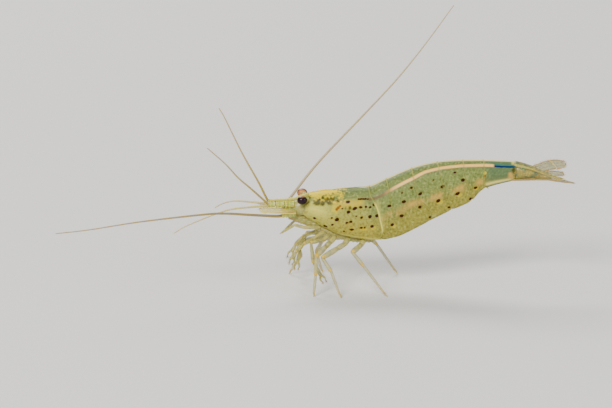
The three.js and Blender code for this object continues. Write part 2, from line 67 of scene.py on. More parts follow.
# Body sections from brow to tail: mid-back x z, mid-belly x z, half width, roundness of the lower half.
BODY = np.array([
    (-1.4, 14.35, -2.3, 10.9, 1.55, 0.80),
    (0.7, 14.7, 0.0, 9.7, 2.15, 0.70),
    (3.1, 14.95, 2.9, 8.3, 2.65, 0.50),
    (5.5, 15.15, 6.2, 7.6, 2.90, 0.42),
    (7.75, 15.4, 9.4, 7.35, 2.80, 0.36),
    (10.3, 16.55, 12.2, 8.0, 2.70, 0.24),
    (14.05, 18.2, 16.0, 9.9, 2.60, 0.22),
    (17.9, 19.15, 19.8, 11.8, 2.35, 0.22),
    (21.7, 19.4, 22.9, 13.25, 2.00, 0.24),
    (24.8, 19.4, 25.0, 15.2, 1.60, 0.40),
    (29.6, 19.25, 29.4, 16.4, 1.20, 0.85),
])
HEAD = np.array([
    (-3.9, 13.2, -3.9, 11.25, 1.15, 0.8),
    (-2.8, 13.6, -2.8, 10.95, 1.45, 0.8),
    (-0.9, 14.0, -0.9, 10.9, 1.5, 0.8),
])
STERNUM = np.array([
    (-0.6, 10.2, -0.9, 9.2, 0.8, 0.7),
    (2.0, 9.2, 1.8, 7.9, 1.2, 0.6),
    (5.2, 8.6, 5.2, 6.95, 1.35, 0.6),
    (8.6, 8.2, 8.8, 6.8, 1.1, 0.7),
])
MOUTHPARTS = np.array([
    (-3.0, 11.4, -3.2, 10.3, 0.55, 0.9),
    (-1.6, 11.0, -1.9, 9.6, 0.85, 0.9),
    (0.2, 10.6, -0.2, 9.0, 0.8, 0.9),
])
NECK = 4.0  # section number of the carapace's back edge
SEGMENTS = 6
FLESH_SHARE = 0.6  # depth of the abdomen's flesh as a share of the body's depth
PLATE_END = 157.0  # angle from the back, in degrees, where a side plate ends
PLEURON_REACH = 0.3  # how far the second side plate spreads over its neighbours, in sections

# Lines of limbs and feelers in mm; the middle value of a point is its distance outwards.
ROSTRUM = [(-7.2, 13.3), (-4.0, 13.5), (-1.6, 14.25), (1.9, 15.0)]
EYE = (-2.3, 2.4, 13.85)
EYE_RADIUS = 0.72
EYE_SHAPE = (1.08, 0.9, 0.9)  # a sphere's stretch along X, Y and Z
EYESTALK_ROOT = (-1.6, 0.9, 13.4)
ANTENNULE_STEM = [(-3.4, 0.8, 12.75), (-4.9, 0.86, 12.75), (-6.3, 0.91, 12.75), (-7.4, 0.95, 12.75)]
ANTENNULE_RADII = (0.5, 0.46, 0.41)  # of the stem's three lengths
STYLOCERITE = [(-3.4, 1.25, 12.7), (-4.5, 1.45, 12.75), (-5.3, 1.4, 12.85)]
ANTENNULES = {
    "outer_left": [(-7.55, 1.1, 13.1), (-10, 1.7, 15.5), (-11.8, 2.2, 17.2), (-13.8, 2.9, 19.6),
                   (-16.4, 3.9, 22.2)],
    "outer_right": [(-7.55, 1.1, 13.1), (-8.9, 1.3, 15.8), (-11.3, 2.1, 20.0), (-13.9, 3.3, 25.1),
                    (-14.8, 3.6, 26.6)],
    "inner_left": [(-7.55, 0.75, 12.55), (-10, 1.2, 12.5), (-13.8, 1.7, 12.05), (-19.2, 2.5, 10.1),
                   (-21.5, 2.8, 8.85)],
    "inner_right": [(-7.55, 0.75, 12.55), (-11.3, 1.2, 12.8), (-12.75, 1.5, 12.75), (-14.25, 1.8, 12.3),
                    (-15.5, 2.1, 11.55)],
}
ANTENNA_BASE = [(-3.3, 1.3, 11.6), (-5.2, 1.9, 11.35)]
ANTENNAE = {
    "left": [(-5.3, 1.9, 11.35), (-6.3, 2.2, 11.35), (-10.1, 3.6, 11.9), (-13.8, 5.2, 12.5),
             (-17.2, 6.7, 12.7), (-26.2, 11, 12.7), (-33.6, 14.4, 12.35), (-38.3, 16.4, 12.3)],
    "right": [(-5.3, 2.0, 11.35), (-4.9, 3.2, 11.7), (-3.7, 4.0, 13.2), (0.26, 6, 17.8), (7, 9.2, 24.3),
              (11.9, 11.6, 29.1), (16.2, 13.8, 34.0), (20.8, 16.4, 39.8)],
}
ANTENNA_SCALE = [(-3.2, 1.6, 11.85), (-8.7, 1.85, 12.2)]
SCALE_THORN = [(-7.6, 2.45, 11.95), (-8.2, 2.5, 12.0), (-8.75, 2.42, 12.1)]
MOUTH_LEGS = {
    "left": [(0.4, 1.0, 9.3), (-2.0, 1.75, 9.5), (-3.4, 1.8, 9.9), (-5.6, 1.5, 8.5)],
    "right": [(0.4, 1.0, 9.3), (-2.0, 1.75, 9.5), (-3.4, 1.8, 9.7), (-5.1, 1.4, 8.1)],
}
CLAW_LEGS = {
    "1_left": [(0.9, 1.0, 8.6), (-0.2, 1.8, 8.0), (-2.0, 2.6, 7.2), (-3.2, 2.5, 6.0), (-4.0, 2.0, 4.0)],
    "1_right": [(0.9, 1.0, 8.6), (-0.2, 1.6, 8.1), (-2.2, 1.9, 7.2), (-3.3, 1.8, 5.9), (-4.3, 1.5, 4.1)],
    "2_left": [(1.7, 1.1, 8.2), (0.9, 1.9, 7.6), (-1.0, 3.4, 7.6), (-0.6, 3.9, 4.6), (1.0, 3.6, 1.6)],
    "2_right": [(1.7, 1.1, 8.2), (0.9, 1.9, 7.6), (-1.6, 3.1, 7.5), (-2.6, 3.6, 4.9), (-3.2, 3.1, 1.8)],
}
WALKING_LEGS = {
    "3_left": [(2.6, 1.2, 7.9), (1.9, 2.0, 7.3), (-0.2, 5.2, 5.95), (-0.3, 6.1, 3.25), (-0.6, 6.4, 0)],
    "3_right": [(2.6, 1.2, 7.9), (1.8, 2.1, 7.3), (-3.0, 4.6, 5.6), (-2.5, 5.5, 3.1), (-4.4, 6.8, 0)],
    "4_left": [(4.6, 1.3, 7.6), (4.0, 2.2, 7.0), (0.7, 5.2, 5.7), (2.0, 6.3, 3.9), (3.5, 7.2, 0)],
    "4_right": [(4.4, 1.3, 7.6), (3.7, 2.2, 7.0), (1.0, 5.4, 6.0), (-0.2, 6.5, 3.6), (0.8, 7.4, 0)],
    "5_left": [(6.9, 1.3, 7.4), (6.5, 2.2, 6.9), (5.2, 4.6, 6.4), (6.8, 5.6, 4.6), (10.4, 6.6, 0)],
    "5_right": [(6.9, 1.3, 7.4), (6.8, 2.2, 6.9), (7.2, 5.0, 6.9), (9.0, 6.0, 4.9), (12.2, 6.8, 0)],
}
TELSON = [(29.72, 0, 18.8), (32, 0, 18.2), (35.1, 0, 16.95), (36.8, 0, 16.55)]
TAIL_FAN = {
    "outer_left": (5, [(29.0, 1.0, 16.6), (33.0, 2.3, 17.0), (35.5, 2.75, 17.1), (38.3, 2.9, 16.6)]),
    "inner_left": (5, [(29.0, 0.5, 16.9), (33.0, 1.25, 16.9), (37.6, 1.3, 16.3)]),
    "outer_right": (42, [(29.0, 1.0, 16.6), (33.0, 2.1, 17.6), (35.0, 2.5, 18.1), (37.4, 2.6, 18.2)]),
    "inner_right": (25, [(29.0, 0.5, 16.9), (33.0, 1.2, 17.1), (37.0, 1.35, 17.0)]),
}
TAIL_SOCKET = [(29.0, 0.55, 17.6), (30.4, 0.8, 17.55), (31.9, 1.0, 17.35), (33.4, 1.2, 17.15),
               (35.0, 1.5, 17.0)]
SWIMMERET_LENGTH = 3.3  # the longest one
SWIMMERET_ROOM = 0.25  # between a swimming leg's root and the plate beside it

NO_SUTURE = 2.0  # a share past a blade's tip

# Half widths of the blades in mm at even shares of their lengths.
SCALE_OUTLINE = (0.45, 0.78, 0.86, 0.88, 0.86, 0.8, 0.7, 0.55)
TELSON_OUTLINE = (0.98, 1.0, 0.96, 0.88, 0.78, 0.67, 0.56, 0.46)
# The same as shares of the swimming leg's and the tail fan's widest places.
SWIMMERET_OUTLINE = (0.5, 0.95, 1.05, 0.95, 0.75, 0.5)
FAN_OUTLINE = (0.3, 0.42, 0.66, 0.9, 1.03, 1.06, 1.03, 0.96)
FAN_HALVES = {"outer": 0.85, "inner": 0.62}

# Lengths of a claw leg from the hip: radius, girths along it, and how warm its far joint is.
CLAW_LENGTHS = (
    (0.36, (0.9, 1.0, 0.9), 0.2),
    (0.32, (0.8, 1.0, 0.95), 0.3),
    (0.31, (0.85, 1.0, 1.0, 0.95, 0.8), 0.9),
    (0.31, (0.6, 0.75, 0.95, 1.1, 1.05), 0.8),
)
# Lengths of a walking leg from the hip: radius, girths along it, how warm its far joint is, how clear it is.
WALKING_LENGTHS = (
    (0.43, (0.9, 1.05, 0.9), 0.2, 0.0),
    (0.41, (0.85, 1.0, 0.95), 0.3, 0.1),
    (0.41, (0.8, 0.98, 1.08, 1.05, 0.93, 0.75), 1.0, 0.2),
    (0.3, (0.7, 0.9, 0.98, 1.05, 0.85), 1.0, 0.6),
    (0.23, (0.9, 1.0, 0.98, 0.9, 0.8, 0.66), 0.5, 1.0),
)
# Spines of a walking leg: which length, how many, up to which share of it, how long, and the leg's radius.
WALKING_SPINES = ((2, 10, 0.85, 0.3, 0.4), (3, 8, 0.9, 0.26, 0.27), (4, 26, 0.95, 0.2, 0.19),
                  (5, 8, 0.35, 0.14, 0.08))
# Lengths of a mouth leg: radius, bristles, last girth, joint's colour, and girth where the bristles root.
MOUTH_LEG_LENGTHS = ((0.3, 20, 0.75, 0.5, 0.8), (0.26, 40, 0.75, 0.5, 0.8), (0.2, 110, 0.3, 0.0, 0.5))
# Lengths of an antenna's stalk: where each starts and ends as shares of the whole, and its radius.
ANTENNA_LENGTHS = ((0.0, 0.5, 0.5), (0.4, 0.8, 0.42), (0.72, 1.08, 0.33))
# Radii of bristles at their roots in mm.
BRISTLE_RADII = {"mouth": 0.014, "antennule": 0.011, "mouth_leg": 0.012, "claw": 0.011, "walking": 0.014,
                 "fringe": 0.012, "spinule": 0.035, "margin": 0.01}

# Dark spots of the left flank: the row's angle from the back, then section number, turn off the row, size.
SPOT_ROWS = {
    48: ((3.22, -1, 0.7), (3.36, -1, 0.75), (3.5, -1, 0.8), (3.64, -1, 0.75), (3.78, 0, 0.7)),
    58: ((2.57, -4, 1.2), (5.49, 6, 0.7), (5.85, 4, 1.0), (6.7, 4, 0.6), (7.58, -4, 0.8)),
    67: ((3.28, 0, 1.0), (3.60, -1, 0.9), (3.84, 1, 0.9), (4.08, -3, 1.1), (2.94, 3, 1.2), (2.24, 5, 0.6)),
    80: ((2.58, -1, 1.2), (4.90, -2, 1.1), (5.49, 2, 1.2), (6.12, 1, 1.1), (6.98, 2, 1.1), (7.85, -2, 1.3)),
    89: ((2.98, -1, 0.6), (3.26, 1, 0.9), (3.73, -1, 1.3), (4.13, -1, 1.3)),
    104: ((1.70, -3, 0.7), (1.97, -2, 1.3), (2.47, 2, 0.8), (2.68, -2, 1.0), (5.30, 2, 1.2), (5.99, 2, 1.1)),
    112: ((3.75, -2, 1.2), (3.18, 3, 0.9), (3.35, 2, 0.7), (4.84, 4, 1.1), (6.69, -2, 1.3), (7.50, -3, 1.2),
          (8.46, 4, 1.0)),
    124: ((0.75, 2, 1.1), (1.75, -2, 0.8), (2.70, -1, 1.0)),
    140: ((1.40, 2, 1.2), (2.33, -7, 0.7), (6.27, 0, 1.0), (7.02, -1, 0.9), (8.04, 2, 1.0)),
}
# Patches of the left flank, each with its section, its angle and its radius in mm.
WARM_PATCHES = ((1.94, 75, 0.2), (2.02, 71, 0.2), (2.12, 66, 0.16), (9.02, 88, 0.17))
YELLOW_PATCHES = ((1.78, 70, 0.26), (1.77, 79, 0.28), (1.92, 84, 0.16), (9.03, 76, 0.22))
DARK_PATCHES = ((0.68, 65, 0.3), (0.85, 61, 0.42), (1.08, 62, 0.4), (1.33, 52, 0.36), (1.5, 61, 0.3),
                (1.62, 47, 0.26), (1.1, 45, 0.2), (1.98, 53, 0.2), (2.42, 70, 0.18), (2.66, 69, 0.2),
                (9.98, 73, 0.25))
GLOW_LINE = [(1.95, 66), (2.4, 63), (2.8, 59), (3.3, 56)]
GUT_LINE = [(3.9, 50), (4.64, 50), (5.22, 46), (5.96, 43), (6.45, 36), (7.9, 34), (9.07, 40), (10.0, 52)]
FLANK_BAND = [(4.3, 93), (5.0, 95), (5.7, 93), (6.67, 100), (7.19, 97), (8.0, 97), (8.8, 106)]


# ------------------------------------------------------------------ lines and forms, in millimetres

def spline(points, place):
    """The points of a smooth curve at places counted in points."""
    points = np.asarray(points, float)
    last = len(points) - 1
    place = np.clip(place, 0, last)
    low = np.minimum(np.floor(place).astype(int), last - 1)
    part = (place - low)[..., None]
    here, after = points[low], points[low + 1]
    before = np.where((low == 0)[..., None], 2 * points[0] - points[1], points[np.maximum(low - 1, 0)])
    beyond = np.where((low == last - 1)[..., None], 2 * points[-1] - points[-2],
                      points[np.minimum(low + 2, last)])
    start, end = (after - before) / 2, (beyond - here) / 2
    return (here + start * part + (3 * (after - here) - 2 * start - end) * part ** 2
            + (2 * (here - after) + start + end) * part ** 3)


def smooth(value, low, high):
    """Runs smoothly from 0 at low to 1 at high; high may be the smaller one."""
    share = np.clip((value - low) / (high - low), 0, 1)
    return share * share * (3 - 2 * share)


def eased(share):
    """Even steps drawn together towards both ends."""
    return (1 - np.cos(np.pi * share)) / 2


def rounded(reach):
    """Rises from 0 at 0 to 1 at 1 as a quarter circle does."""
    return np.sqrt(np.clip(1 - (1 - np.minimum(reach, 1)) ** 2, 0, 1))


def graded(share, *stops):
    """A value that runs through stops at even shares."""
    return np.interp(share, np.linspace(0, 1, len(stops)), stops)


def profile(*stops, scale=1.0):
    """A function of the share of a length that runs through stops."""
    return lambda share: scale * graded(share, *stops)


def form_at(rows, section, angle, grow=0.0, out=1.0):
    """Points of a body form at section numbers and angles in degrees from the back, towards +Y."""
    ring = spline(rows, section)
    top, down = ring[..., 0:2], ring[..., 2:4] - ring[..., 0:2]
    length = np.linalg.norm(down, axis=-1)
    turn = np.radians(angle)
    sine = np.where(np.abs(np.sin(turn)) < 1e-9, 0, np.sin(turn))
    fullness = np.where(np.cos(turn) > 0, 0.85, ring[..., 5])
    across = (ring[..., 4] + grow) * np.sign(sine) * np.abs(sine) ** fullness * out
    fall = 0.5 + ((1 - np.cos(turn)) / 2 - 0.5) * out
    drop = (fall * (length + 2 * grow) - grow) / length
    spot = top + down * drop[..., None]
    return np.stack([spot[..., 0], across, spot[..., 1]], -1)


class Line:
    """A smooth line through points, with two directions across it that are carried along untwisted."""

    def __init__(self, points, across=(0, 1, 0)):
        points = np.asarray(points, float)
        self.spots = spline(points, np.linspace(0, len(points) - 1, 60 * (len(points) - 1) + 1))
        steps = np.linalg.norm(np.diff(self.spots, axis=0), axis=1)
        self.length = steps.sum()
        self.shares = np.concatenate([[0], np.cumsum(steps)]) / self.length
        ahead = np.gradient(self.spots, axis=0)
        self.ahead = ahead / np.linalg.norm(ahead, axis=1)[:, None]
        side = np.asarray(across, float)
        self.sides = np.empty_like(self.spots)
        for i, heading in enumerate(self.ahead):
            side = side - heading * side.dot(heading)
            side /= np.linalg.norm(side)
            self.sides[i] = side
        self.ups = np.cross(self.ahead, self.sides)

    def at(self, share):
        """Centres, headings, sides and ups at shares of the length."""
        return [np.stack([np.interp(share, self.shares, rows[:, axis]) for axis in range(3)], -1)
                for rows in (self.spots, self.ahead, self.sides, self.ups)]


def sign_of(side):
    """The side's sign along Y, for a name that ends in left or right."""
    return -1 if side.endswith("left") else 1


def placed(points, side):
    """Points whose middle value is a distance outwards, on the left or the right side."""
    return [(x, sign_of(side) * out, z) for x, out, z in points]


# ------------------------------------------------------------------ making pieces

def select_only(*pieces):
    """Selects these pieces alone, the first one active."""
    bpy.ops.object.select_all(action="DESELECT")
    for piece in pieces:
        piece.select_set(True)
    bpy.context.view_layer.objects.active = pieces[0]


def keep_numbers(piece, numbers):
    """Keeps named numbers at a piece's corners, where its finish reads them."""
    for key, worth in numbers.items():
        attribute = piece.data.attributes.new(key, "FLOAT", "POINT")
        worth = np.broadcast_to(worth, len(piece.data.vertices))
        attribute.data.foreach_set("value", worth.astype(np.float32))


def shaped_grid(name, columns, rows, place, values=None, merge=True):
    """A grid whose corners move to place(u, v) in mm; values are named numbers kept at each corner."""
    bpy.ops.object.select_all(action="DESELECT")
    bpy.ops.mesh.primitive_grid_add(x_subdivisions=columns, y_subdivisions=rows, size=2)
    piece = bpy.context.active_object
    piece.name = name
    piece.data.name = name
    corners = np.empty(len(piece.data.vertices) * 3)
    piece.data.vertices.foreach_get("co", corners)
    u, v = (corners.reshape(-1, 3)[:, :2].T + 1) / 2
    spots = place(u, v)
    spots[:, 2] = np.maximum(spots[:, 2], 0)
    piece.data.vertices.foreach_set("co", (spots * MM).ravel())
    keep_numbers(piece, values(u, v) if values else {})
    if merge:
        bpy.ops.object.mode_set(mode="EDIT")
        bpy.ops.mesh.select_all(action="SELECT")
        bpy.ops.mesh.remove_doubles(threshold=2e-7)
        bpy.ops.mesh.normals_make_consistent(inside=False)
        bpy.ops.object.mode_set(mode="OBJECT")
    return piece


def tube(name, line, wide, thick=None, sides=16, steps=24, values=None, hook=None, blunt=1.0):
    """A closed tube with rounded ends along a line, half-wide and half-thick in mm as functions of share.
    blunt is how far an end's rounding runs along the tube, in half thicknesses."""
    thick = thick or wide

    def place(u, v):
        share = eased(u)
        centre, _, side, up = line.at(share)
        reach = np.minimum(share, 1 - share) * line.length / np.maximum(thick(share) * blunt, 1e-6)
        cap = rounded(reach)
        turn = 2 * np.pi * v
        spot = (centre + side * (np.sin(turn) * wide(share) * cap)[:, None]
                + up * (np.cos(turn) * thick(share) * cap)[:, None])
        return hook(spot, share, turn) if hook else spot

    return shaped_grid(name, steps, sides, place, (lambda u, v: values(eased(u), v)) if values else None)


def modify(piece, kind, **settings):
    """Adds a modifier to a piece and applies it."""
    select_only(piece)
    modifier = piece.modifiers.new(kind.title(), kind)
    for key, worth in settings.items():
        setattr(modifier, key, worth)
    bpy.ops.object.modifier_apply(modifier=modifier.name)


def joined(name, pieces):
    """Joins pieces into the first one and names it."""
    select_only(*pieces)
    if len(pieces) > 1:
        bpy.ops.object.join()
    pieces[0].name = name
    pieces[0].data.name = name
    return pieces[0]


def hairs(name, roots, tips, radius, bends=None):
    """Thin curved three-sided spikes from roots to tips in mm, as one mesh with a map of their roots."""
    roots, tips = np.asarray(roots, float), np.asarray(tips, float)
    count = len(roots)
    ahead = tips - roots
    length = np.linalg.norm(ahead, axis=1)[:, None]
    ahead /= length
    helper = np.where(np.abs(ahead[:, :1]) < 0.8, [[1.0, 0, 0]], [[0, 1.0, 0]])
    side = np.cross(ahead, helper)
    side /= np.linalg.norm(side, axis=1)[:, None]
    up = np.cross(ahead, side)
    middle = (roots + tips) / 2 + (0 if bends is None else np.asarray(bends, float))
    rings = []
    for centre, girth in ((roots, 1.0), (middle, 0.7)):
        for k in range(3):
            turn = 2 * math.pi * k / 3
            rings.append(centre + (side * math.cos(turn) + up * math.sin(turn)) * radius * girth)
    corners = np.stack(rings + [tips], 1).reshape(-1, 3) * MM
    corners[:, 2] = np.maximum(corners[:, 2], 0)
    faces = []
    for base in range(0, 7 * count, 7):
        for k in range(3):
            after = (k + 1) % 3
            faces.append((base + k, base + after, base + 3 + after, base + 3 + k))
            faces.append((base + 3 + k, base + 3 + after, base + 6))
        faces.append((base + 2, base + 1, base))
    mesh = bpy.data.meshes.new(name)
    mesh.from_pydata(corners.tolist(), [], faces)
    layer = mesh.uv_layers.new(name="OFBake")
    patch = 0.003
    spread = np.ptp(roots, axis=0) + 1e-6
    home = ((roots - roots.min(0)) / spread)[:, [0, 1]] * (1 - 2 * patch) + patch
    which = np.empty(len(mesh.loops), int)
    mesh.loops.foreach_get("vertex_index", which)
    shift = np.array([(0, 0), (1, 0), (0, 1), (0, 0.5), (1, 0.5), (0.5, 1), (1, 1)]) * patch
    layer.data.foreach_set("uv", (home[which // 7] + shift[which % 7]).astype(np.float32).ravel())
    piece = bpy.data.objects.new(name, mesh)
    bpy.context.scene.collection.objects.link(piece)
    return piece


def brush(name, bunches, radius, material, slot):
    """Bunches of bristles, each given as its roots and its tips, as one finished piece."""
    roots, tips = (np.concatenate(ends) for ends in zip(*bunches))
    return finish_piece(hairs(name, roots, tips, radius), material, slot)


def finish_piece(piece, material, slot, *nodes, smooth_angle=50):
    """Gives a piece its material, smooth shading and body, and hides the solid parts that it stands for."""
    piece.data.materials.clear()
    piece.data.materials.append(material)
    select_only(piece)
    bpy.ops.object.shade_smooth_by_angle(angle=math.radians(smooth_angle))
    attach(piece, BODY_NAME)
    if nodes:
        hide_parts(*nodes)
    return piece


# ------------------------------------------------------------------ finishes

def tint(red, green, blue):
    """A colour given in 0 to 255 display numbers, as the shader takes it."""
    shares = [part / 255 for part in (red, green, blue)]
    return [s / 12.92 if s <= 0.04045 else ((s + 0.055) / 1.055) ** 2.4 for s in shares] + [1.0]


def dimmed(colour, share):
    """A share of a colour, still opaque."""
    return [part * share for part in colour[:3]] + [1.0]


class Value:
    """A value in a material; arithmetic with it adds Math nodes."""

    def __init__(self, paint, socket):
        self.paint = paint
        self.socket = socket

    def math(self, operation, *values):
        return self.paint.node("ShaderNodeMath", {"operation": operation}, dict(enumerate(values)))

    def __add__(self, other):
        return self.math("ADD", self, other)

    __radd__ = __add__

    def __mul__(self, other):
        return self.math("MULTIPLY", self, other)

    __rmul__ = __mul__

    def __sub__(self, other):
        return self.math("SUBTRACT", self, other)

    def __rsub__(self, other):
        return self.math("SUBTRACT", other, self)

    def sine(self):
        return self.math("SINE", self)

    def at_most(self, limit):
        return self.math("MINIMUM", self, limit)

    def between(self, low, high):
        """Runs smoothly from 0 at low to 1 at high; high may be the smaller one."""
        flip = high < low
        ends = {"Value": self, "From Min": min(low, high), "From Max": max(low, high)}
        share = self.paint.node("ShaderNodeMapRange", {"interpolation_type": "SMOOTHSTEP"}, ends)
        return 1 - share if flip else share


class Paint:
    """A material being made: a Principled shader and the nodes that feed it."""

    def __init__(self, name, constants):
        self.material = bpy.data.materials.new(name)
        self.material.use_nodes = True
        self.tree = self.material.node_tree
        self.shader = self.tree.nodes["Principled BSDF"]
        self.place = self.node("ShaderNodeTexCoord", output="Object")
        for key, worth in constants.items():
            self.shader.inputs[key].default_value = worth

    def node(self, kind, settings=None, values=None, output=0):
        made = self.tree.nodes.new(kind)
        for key, worth in (settings or {}).items():
            setattr(made, key, worth)
        for key, worth in (values or {}).items():
            self.feed(made.inputs[key], worth)
        return Value(self, made.outputs[output])

    def feed(self, socket, worth):
        if isinstance(worth, Value):
            self.tree.links.new(worth.socket, socket)
        else:
            socket.default_value = worth

    def mark(self, name):
        """A named number of the piece's corners."""
        return self.node("ShaderNodeAttribute", {"attribute_name": name}, output="Fac")

    def noise(self, size, detail=3.0, roughness=0.55):
        """Cloudy noise whose clouds are about size mm across."""
        return self.node("ShaderNodeTexNoise", None, {
            "Vector": self.place, "Scale": 1 / (size * MM), "Detail": detail, "Roughness": roughness})

    def cells(self, size, feature="F1"):
        return self.node("ShaderNodeTexVoronoi", {"feature": feature},
                         {"Vector": self.place, "Scale": 1 / (size * MM)}, output="Distance")

    def mix(self, share, first, second):
        return self.node("ShaderNodeMix", {"data_type": "RGBA"}, {0: share, 6: first, 7: second}, output=2)

    def over(self, base, *layers):
        """A base colour with layers mixed over it in turn, each given as its share and its colour."""
        for share, colour in layers:
            base = self.mix(share, base, colour)
        return base

    def finish(self, **inputs):
        """Feeds the shader; height in mm goes through a Bump node."""
        height = inputs.pop("height", None)
        if height is not None:
            inputs["Normal"] = self.node("ShaderNodeBump", None, {
                "Height": height, "Strength": 1.0, "Distance": MM})
        for key, worth in inputs.items():
            self.feed(self.shader.inputs[key.replace("_", " ")], worth)
        return self.material


def shell_paint(colours):
    paint = Paint("shell", {
        "Subsurface Weight": 0.18, "Subsurface Radius": (1.0, 0.8, 0.5), "Subsurface Scale": 0.0005,
        "Specular IOR Level": 0.1, "Coat Weight": 0.08, "Coat Roughness": 0.3, "IOR": 1.4})
    clouds, fine, grains = paint.noise(1.6), paint.noise(0.35), paint.noise(0.09, 2.0)
    cloudy, speckled = clouds - 0.5, fine - 0.5

    def frayed(name, by_speckle, by_cloud=0.0):
        """A marking's number with a ragged outline."""
        return paint.mark(name) + cloudy * by_cloud + speckled * by_speckle

    down, along, edge, head_top = (paint.mark(name) for name in ("down", "along", "edge", "head_top"))
    wavy = down + cloudy * 0.22
    muscle = (along * 420.0 + down * 60.0 + clouds * 3.0).sine().between(-0.2, 1.0)
    freckles = paint.cells(0.3).between(0.16, 0.06) * grains.between(0.4, 0.55)
    mottle, glow, band = frayed("head_top", 1.6, 1.6), frayed("glow", 1.0, 1.4), frayed("band", 0.0, 0.9)
    gut, spots, ridge = frayed("gut", 0.1), frayed("spots", 0.1), frayed("ridge", 0.12)
    gut_end = paint.mix(paint.mark("gut_low").between(0.38, 0.52), colours.gut_teal, colours.gut_end)
    gut_colour = paint.mix(along.between(0.46, 0.56), colours.gut_front,
                           paint.mix(gut.between(0.18, 0.04) * 0.7, colours.gut, colours.gut_core))
    skin = paint.over(
        colours.flank_green,
        (wavy.between(0.44, 0.64), colours.flank_olive),
        (wavy.between(0.27, 0.1) * 0.6, colours.back_grey),
        (along.between(0.26, 0.05) * 0.75, colours.head_green),
        (along.between(0.41, 0.34) * wavy.between(0.22, 0.42) * 0.34, colours.carapace),
        (muscle * along.between(0.41, 0.45) * wavy.between(0.8, 0.6) * 0.3, colours.muscle),
        # fine mottling all over
        (speckled.between(0.02, 0.2) * 0.5, colours.flank_pale),
        (speckled.between(-0.02, -0.16) * 0.5, colours.freckle),
        (freckles * 0.6, colours.freckle),
        # top of the head, low band and last segment
        (mottle.between(0.3, 0.62) * head_top.between(0.0, 0.2), colours.head_yellow),
        (mottle.between(0.7, 0.45) * head_top * grains.between(0.6, 0.4) * 0.8, colours.freckle),
        (band.between(0.9, 0.0) * clouds.between(0.35, 0.65) * 0.75, colours.band),
        (along.between(0.885, 0.93) * 0.75, colours.tail_teal),
        (paint.mark("cheek") * 0.75, colours.plate_edge),
        (glow.between(0.95, 0.1) * 0.8, colours.glow),
        (paint.mark("low") * 0.85, colours.back_line),
        (paint.mark("tan") * clouds.between(0.3, 0.55) * 0.8, colours.band),
        (paint.mark("collar") * 0.8, colours.plate_edge),
        # line of the gut, with a blue end
        (gut.between(0.7, 0.3) * 0.35, colours.back_grey),
        (gut.between(0.3, 0.2), paint.mix(along.between(0.93, 0.938), gut_colour, gut_end)),
        # patches and spots
        (frayed("yellow", 0.3).between(0.12, -0.06) * 0.9, colours.halo),
        (frayed("warm", 0.2).between(0.1, -0.04) * 0.95, colours.warm),
        (frayed("dark", 0.8, 0.4).between(0.3, -0.16) * 0.9, colours.organ),
        (paint.mark("halos").between(0.14, -0.02) * 0.55, colours.halo),
        (spots.between(0.1, 0.0) * 0.4, colours.warm),
        (spots.between(0.03, -0.035), colours.spot),
        # line along the back and the plates' rims
        (ridge.between(0.43, 0.2) * 0.9, colours.back_line),
        (edge.between(0.42, 0.2) * 0.3, colours.freckle),
        (edge.between(0.24, 0.12) * paint.mark("seam") * 0.95, colours.plate_edge))
    height = grains * 0.005 + fine * 0.012 + paint.cells(0.12) * 0.008
    return paint.finish(Base_Color=skin, Roughness=fine * 0.25 + 0.42,
                        Alpha=1 - edge.between(0.12, 0.0) * 0.3, height=height)


def flesh_paint(colours):
    paint = Paint("flesh", {"Subsurface Weight": 0.3, "Subsurface Scale": 0.0007, "Coat Weight": 0.3,
                            "Coat Roughness": 0.25})
    clouds, fine = paint.noise(1.1), paint.noise(0.22)
    skin = paint.over(colours.flesh,
                      (clouds.between(0.38, 0.62), colours.flank_olive),
                      (fine.between(0.5, 0.72) * 0.6, colours.flank_pale))
    return paint.finish(Base_Color=skin, Roughness=fine * 0.2 + 0.32,
                        height=fine * 0.02 + paint.cells(0.2) * 0.01)


def leg_paint(colours):
    paint = Paint("leg", {"Subsurface Weight": 0.25, "Subsurface Radius": (1.0, 0.9, 0.6),
                          "Subsurface Scale": 0.0004, "Specular IOR Level": 0.3, "Coat Weight": 0.2,
                          "Coat Roughness": 0.25})
    fine, clouds, joint, clear = paint.noise(0.16), paint.noise(0.8), paint.mark("joint"), paint.mark("clear")
    skin = paint.over(colours.leg,
                      (clouds.between(0.4, 0.65), colours.leg_grey),
                      (fine.between(0.52, 0.7) * 0.5, colours.flank_pale),
                      (clear * 0.8, colours.leg_clear),
                      (joint * (clouds * 0.5 + 0.65), colours.leg_joint))
    return paint.finish(Base_Color=skin, Roughness=fine * 0.2 + 0.28,
                        Alpha=joint * 0.25 + 0.72 - clear * 0.12, height=fine * 0.012)


def whip_paint(name, root, tip):
    paint = Paint(name, {"Coat Weight": 0.35, "Coat Roughness": 0.25})
    rings, fine = (paint.mark("run") * 22.0).sine(), paint.noise(0.5)
    skin = paint.over(root,
                      (paint.mark("share").between(0.0, 0.75), tip),
                      (rings.between(0.55, 1.0) * 0.35, dimmed(root, 0.45)),
                      (fine.between(0.5, 0.7) * 0.35, dimmed(tip, 0.6)))
    return paint.finish(Base_Color=skin, Roughness=fine * 0.2 + 0.3, height=rings * 0.006)


